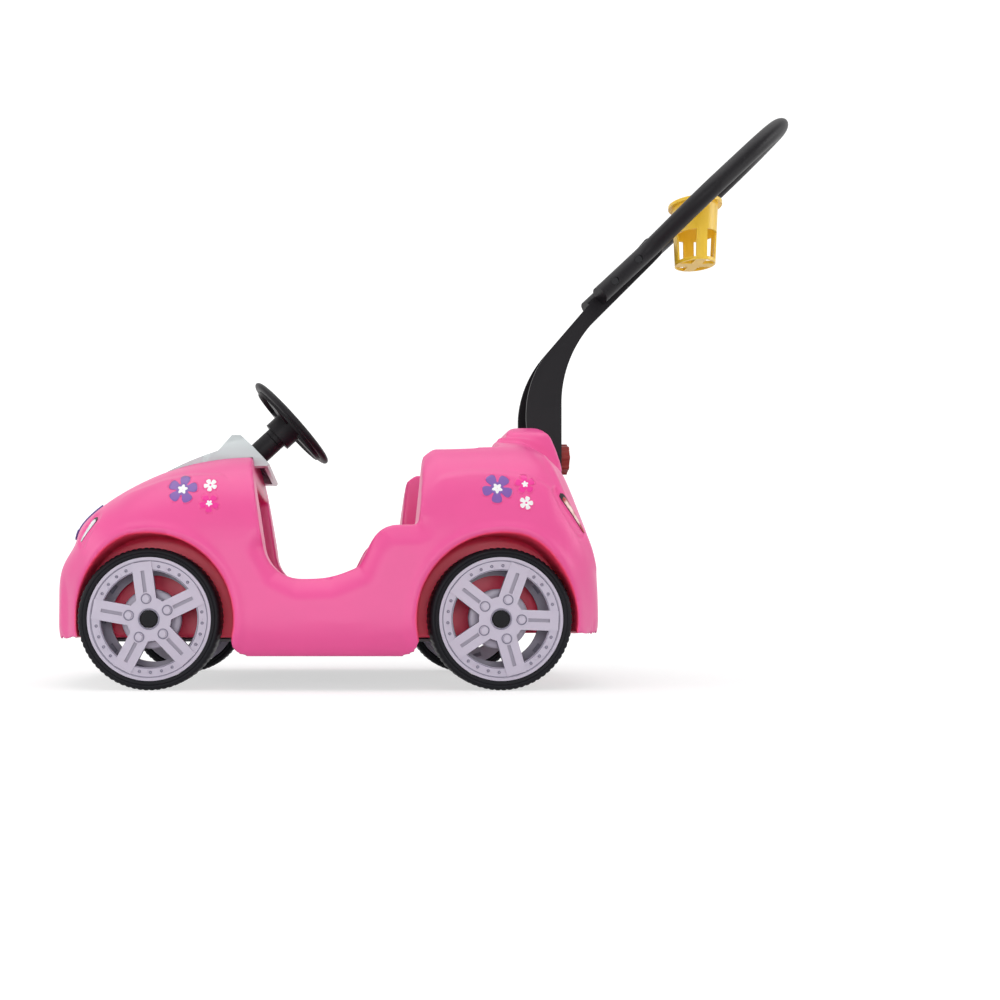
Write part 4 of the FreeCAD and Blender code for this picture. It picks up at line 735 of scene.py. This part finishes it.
# Flowers: printed film stickers of plain five-petal flowers on the wings. Each has rounded petals,
# a small heart of the same form and a hot-pink edge of film round it.
def petal_reach(turn, radius):
    """Edge of a flower at an angle from the middle of its first petal."""
    off = abs((turn + 36) % 72 - 36) / 29
    root = 0.43 * radius
    return root + (radius - root) * math.sqrt(max(0.0, 1 - off ** 4)) if off < 1 else root


def heart_reach(turn, radius):
    return radius * (0.29 + 0.07 * math.cos(math.radians(5 * turn)))


def flower_mesh(name, spots, inner, outer, lift, spokes=120, rings=6):
    """Rings of film between two edges, on both sides of the car."""
    sheet = bmesh.new()
    for flower_x, flower_z, radius, phase in spots:
        for hand in (-1, 1):
            loops = []
            for ring in range(rings + 1):
                loop = []
                for i in range(spokes):
                    turn = 360 * i / spokes
                    low = inner(turn, radius)
                    reach = low + (outer(turn, radius) - low) * ring / rings
                    angle = math.radians(turn + phase)
                    spot_x = flower_x + reach * math.cos(angle)
                    spot_z = flower_z + reach * math.sin(angle)
                    loop.append(sheet.verts.new(on_body(spot_x, spot_z, hand, lift)))
                loops.append(loop)
            for near, far in zip(loops, loops[1:]):
                for i in range(spokes):
                    quad = (near[i], near[(i + 1) % spokes], far[(i + 1) % spokes], far[i])
                    sheet.faces.new(quad[::-1] if hand < 0 else quad)
    return smooth_mesh(sheet, name)


def middle_dot(turn, radius):
    return 0.02 * radius


def small_heart(turn, radius):
    return 0.16 * radius


def film_edge(turn, radius):
    return petal_reach(turn, radius) + 0.0018


purple_spots = [(-0.357, 0.282, 0.021, 82.0), (0.083, 0.282, 0.021, -95.0)]
pink_spots = [(-0.318, 0.261, 0.0135, -92.0), (0.122, 0.288, 0.0135, -50.0)]
white_spots = [(-0.318, 0.288, 0.0095, -97.0), (0.122, 0.261, 0.0095, -73.0)]
film_purple = moulded("purple_film", (0.20, 0.085, 0.38), 0.34)
film_pink = moulded("hot_pink_film", (0.83, 0.025, 0.30), 0.34)
film_white = moulded("white_film", (0.88, 0.88, 0.88), 0.34)
prints = [("petals_purple", purple_spots, heart_reach, petal_reach, film_purple),
          ("petals_pink", pink_spots, heart_reach, petal_reach, film_pink),
          ("petals_white", white_spots, small_heart, petal_reach, film_white),
          ("hearts_white", purple_spots + pink_spots, middle_dot, heart_reach, film_white),
          ("hearts_pink", white_spots, middle_dot, small_heart, film_pink)]
for node, spots, inner, outer, finish in prints:
    film = flower_mesh(node + "_print", spots, inner, outer, 0.0006)
    piece = stand_in(node + "_print", film, node)
    thicken(piece, 0.0003)
    wears(piece, finish)
all_spots = purple_spots + pink_spots + white_spots
edge_mesh = flower_mesh("flower_edges", all_spots, middle_dot, film_edge, 0.0003)
edges = extra("flower_edges", edge_mesh, "car")
thicken(edges, 0.0002)
wears(edges, moulded("pink_edge_film", (0.86, 0.065, 0.30), 0.34))


# Floor and backdrop: one pale sweep of paper that keeps the car's soft shadow and looks white
# to the camera and in reflections.
sweep_start = 2.2
sweep_radius = 1.2


def sweep_mesh():
    sheet = bmesh.new()
    line = [(-3.0, 0.0), (sweep_start, 0.0)]
    for i in range(1, 13):
        bend = math.radians(90 * i / 12)
        back = sweep_start + sweep_radius * math.sin(bend)
        line.append((back, sweep_radius - sweep_radius * math.cos(bend)))
    line.append((sweep_start + sweep_radius, 5.0))
    rows = [[sheet.verts.new((across, back, up)) for across in (-6.0, 6.0)] for back, up in line]
    for a, b in zip(rows, rows[1:]):
        sheet.faces.new((a[0], a[1], b[1], b[0]))
    return smooth_mesh(sheet, "studio_sweep")


paper = bpy.data.materials.new("white_sweep_paper")
paper.use_nodes = True
tree = paper.node_tree
tree.nodes.clear()
output = tree.nodes.new("ShaderNodeOutputMaterial")
matte = tree.nodes.new("ShaderNodeBsdfDiffuse")
matte.inputs["Color"].default_value = (0.80, 0.80, 0.80, 1)
glow = tree.nodes.new("ShaderNodeEmission")
glow.inputs["Strength"].default_value = 1.42
blend = tree.nodes.new("ShaderNodeMixShader")
seen = tree.nodes.new("ShaderNodeLightPath")
direct = tree.nodes.new("ShaderNodeMath")
direct.use_clamp = True
place = tree.nodes.new("ShaderNodeTexCoord")
reach = tree.nodes.new("ShaderNodeVectorMath")
reach.operation = "LENGTH"
fade = tree.nodes.new("ShaderNodeMapRange")
fade.inputs["From Min"].default_value = 0.3
fade.inputs["From Max"].default_value = 1.4
fade.inputs["To Min"].default_value = 0.42
fade.inputs["To Max"].default_value = 0.72
share = tree.nodes.new("ShaderNodeMath")
share.operation = "MULTIPLY"
tree.links.new(place.outputs["Object"], reach.inputs[0])
tree.links.new(reach.outputs["Value"], fade.inputs["Value"])
tree.links.new(seen.outputs["Is Camera Ray"], direct.inputs[0])
tree.links.new(seen.outputs["Is Glossy Ray"], direct.inputs[1])
tree.links.new(direct.outputs["Value"], share.inputs[0])
tree.links.new(fade.outputs["Result"], share.inputs[1])
tree.links.new(share.outputs["Value"], blend.inputs["Fac"])
tree.links.new(matte.outputs["BSDF"], blend.inputs[1])
tree.links.new(glow.outputs["Emission"], blend.inputs[2])
tree.links.new(blend.outputs["Shader"], output.inputs["Surface"])
sweep = bpy.data.objects.new("studio_sweep", sweep_mesh())
bpy.context.scene.collection.objects.link(sweep)
sweep.data.materials.append(paper)


# Light: a wide soft box overhead, weaker ones beside the camera, at the nose and at the tail,
# and an even pale room.
def soft_box(name, place, aim, size, power):
    lamp = bpy.data.lights.new(name, "AREA")
    lamp.shape = "RECTANGLE"
    lamp.size = size[0]
    lamp.size_y = size[1]
    lamp.energy = power
    holder = bpy.data.objects.new(name, lamp)
    bpy.context.scene.collection.objects.link(holder)
    holder.location = place
    holder.rotation_euler = (Vector(aim) - Vector(place)).to_track_quat("-Z", "Y").to_euler()


soft_box("overhead_box", (-0.1, -0.4, 2.4), (0.0, 0.0, 0.2), (2.8, 2.0), 27.0)
soft_box("camera_box", (-0.3, -2.5, 0.48), (-0.1, 0.0, 0.18), (2.6, 0.9), 19.0)
soft_box("nose_box", (-2.3, -0.7, 0.9), (0.0, 0.0, 0.2), (1.2, 1.2), 11.0)
soft_box("tail_box", (2.4, -0.5, 1.0), (0.0, 0.0, 0.2), (1.2, 1.2), 13.0)
room = bpy.data.worlds.new("pale_room")
bpy.context.scene.world = room
room.use_nodes = True
air = room.node_tree.nodes["Background"]
air.inputs["Color"].default_value = (1.0, 1.0, 1.0, 1)
lit = room.node_tree.nodes.new("ShaderNodeLightPath")
level = room.node_tree.nodes.new("ShaderNodeMapRange")
level.inputs["To Min"].default_value = 0.38
level.inputs["To Max"].default_value = 1.0
straight = room.node_tree.nodes.new("ShaderNodeMath")
straight.use_clamp = True
room.node_tree.links.new(lit.outputs["Is Camera Ray"], straight.inputs[0])
room.node_tree.links.new(lit.outputs["Is Glossy Ray"], straight.inputs[1])
room.node_tree.links.new(straight.outputs["Value"], level.inputs["Value"])
room.node_tree.links.new(level.outputs["Result"], air.inputs["Strength"])


# Camera: square to the car's left side, low down and about 1.6 m away, with its lens shifted
# to the photograph's frame.
eye = bpy.data.cameras.new("side_camera")
eye.sensor_width = 36.0
eye.lens = 36.6
eye.shift_x = 0.17
eye.shift_y = 0.104
view = bpy.data.objects.new("side_camera", eye)
bpy.context.scene.collection.objects.link(view)
view.location = (-0.150, -1.637, 0.121)
view.rotation_euler = (math.radians(90), 0, 0)
bpy.context.scene.camera = view
bpy.context.scene.view_settings.view_transform = "Standard"
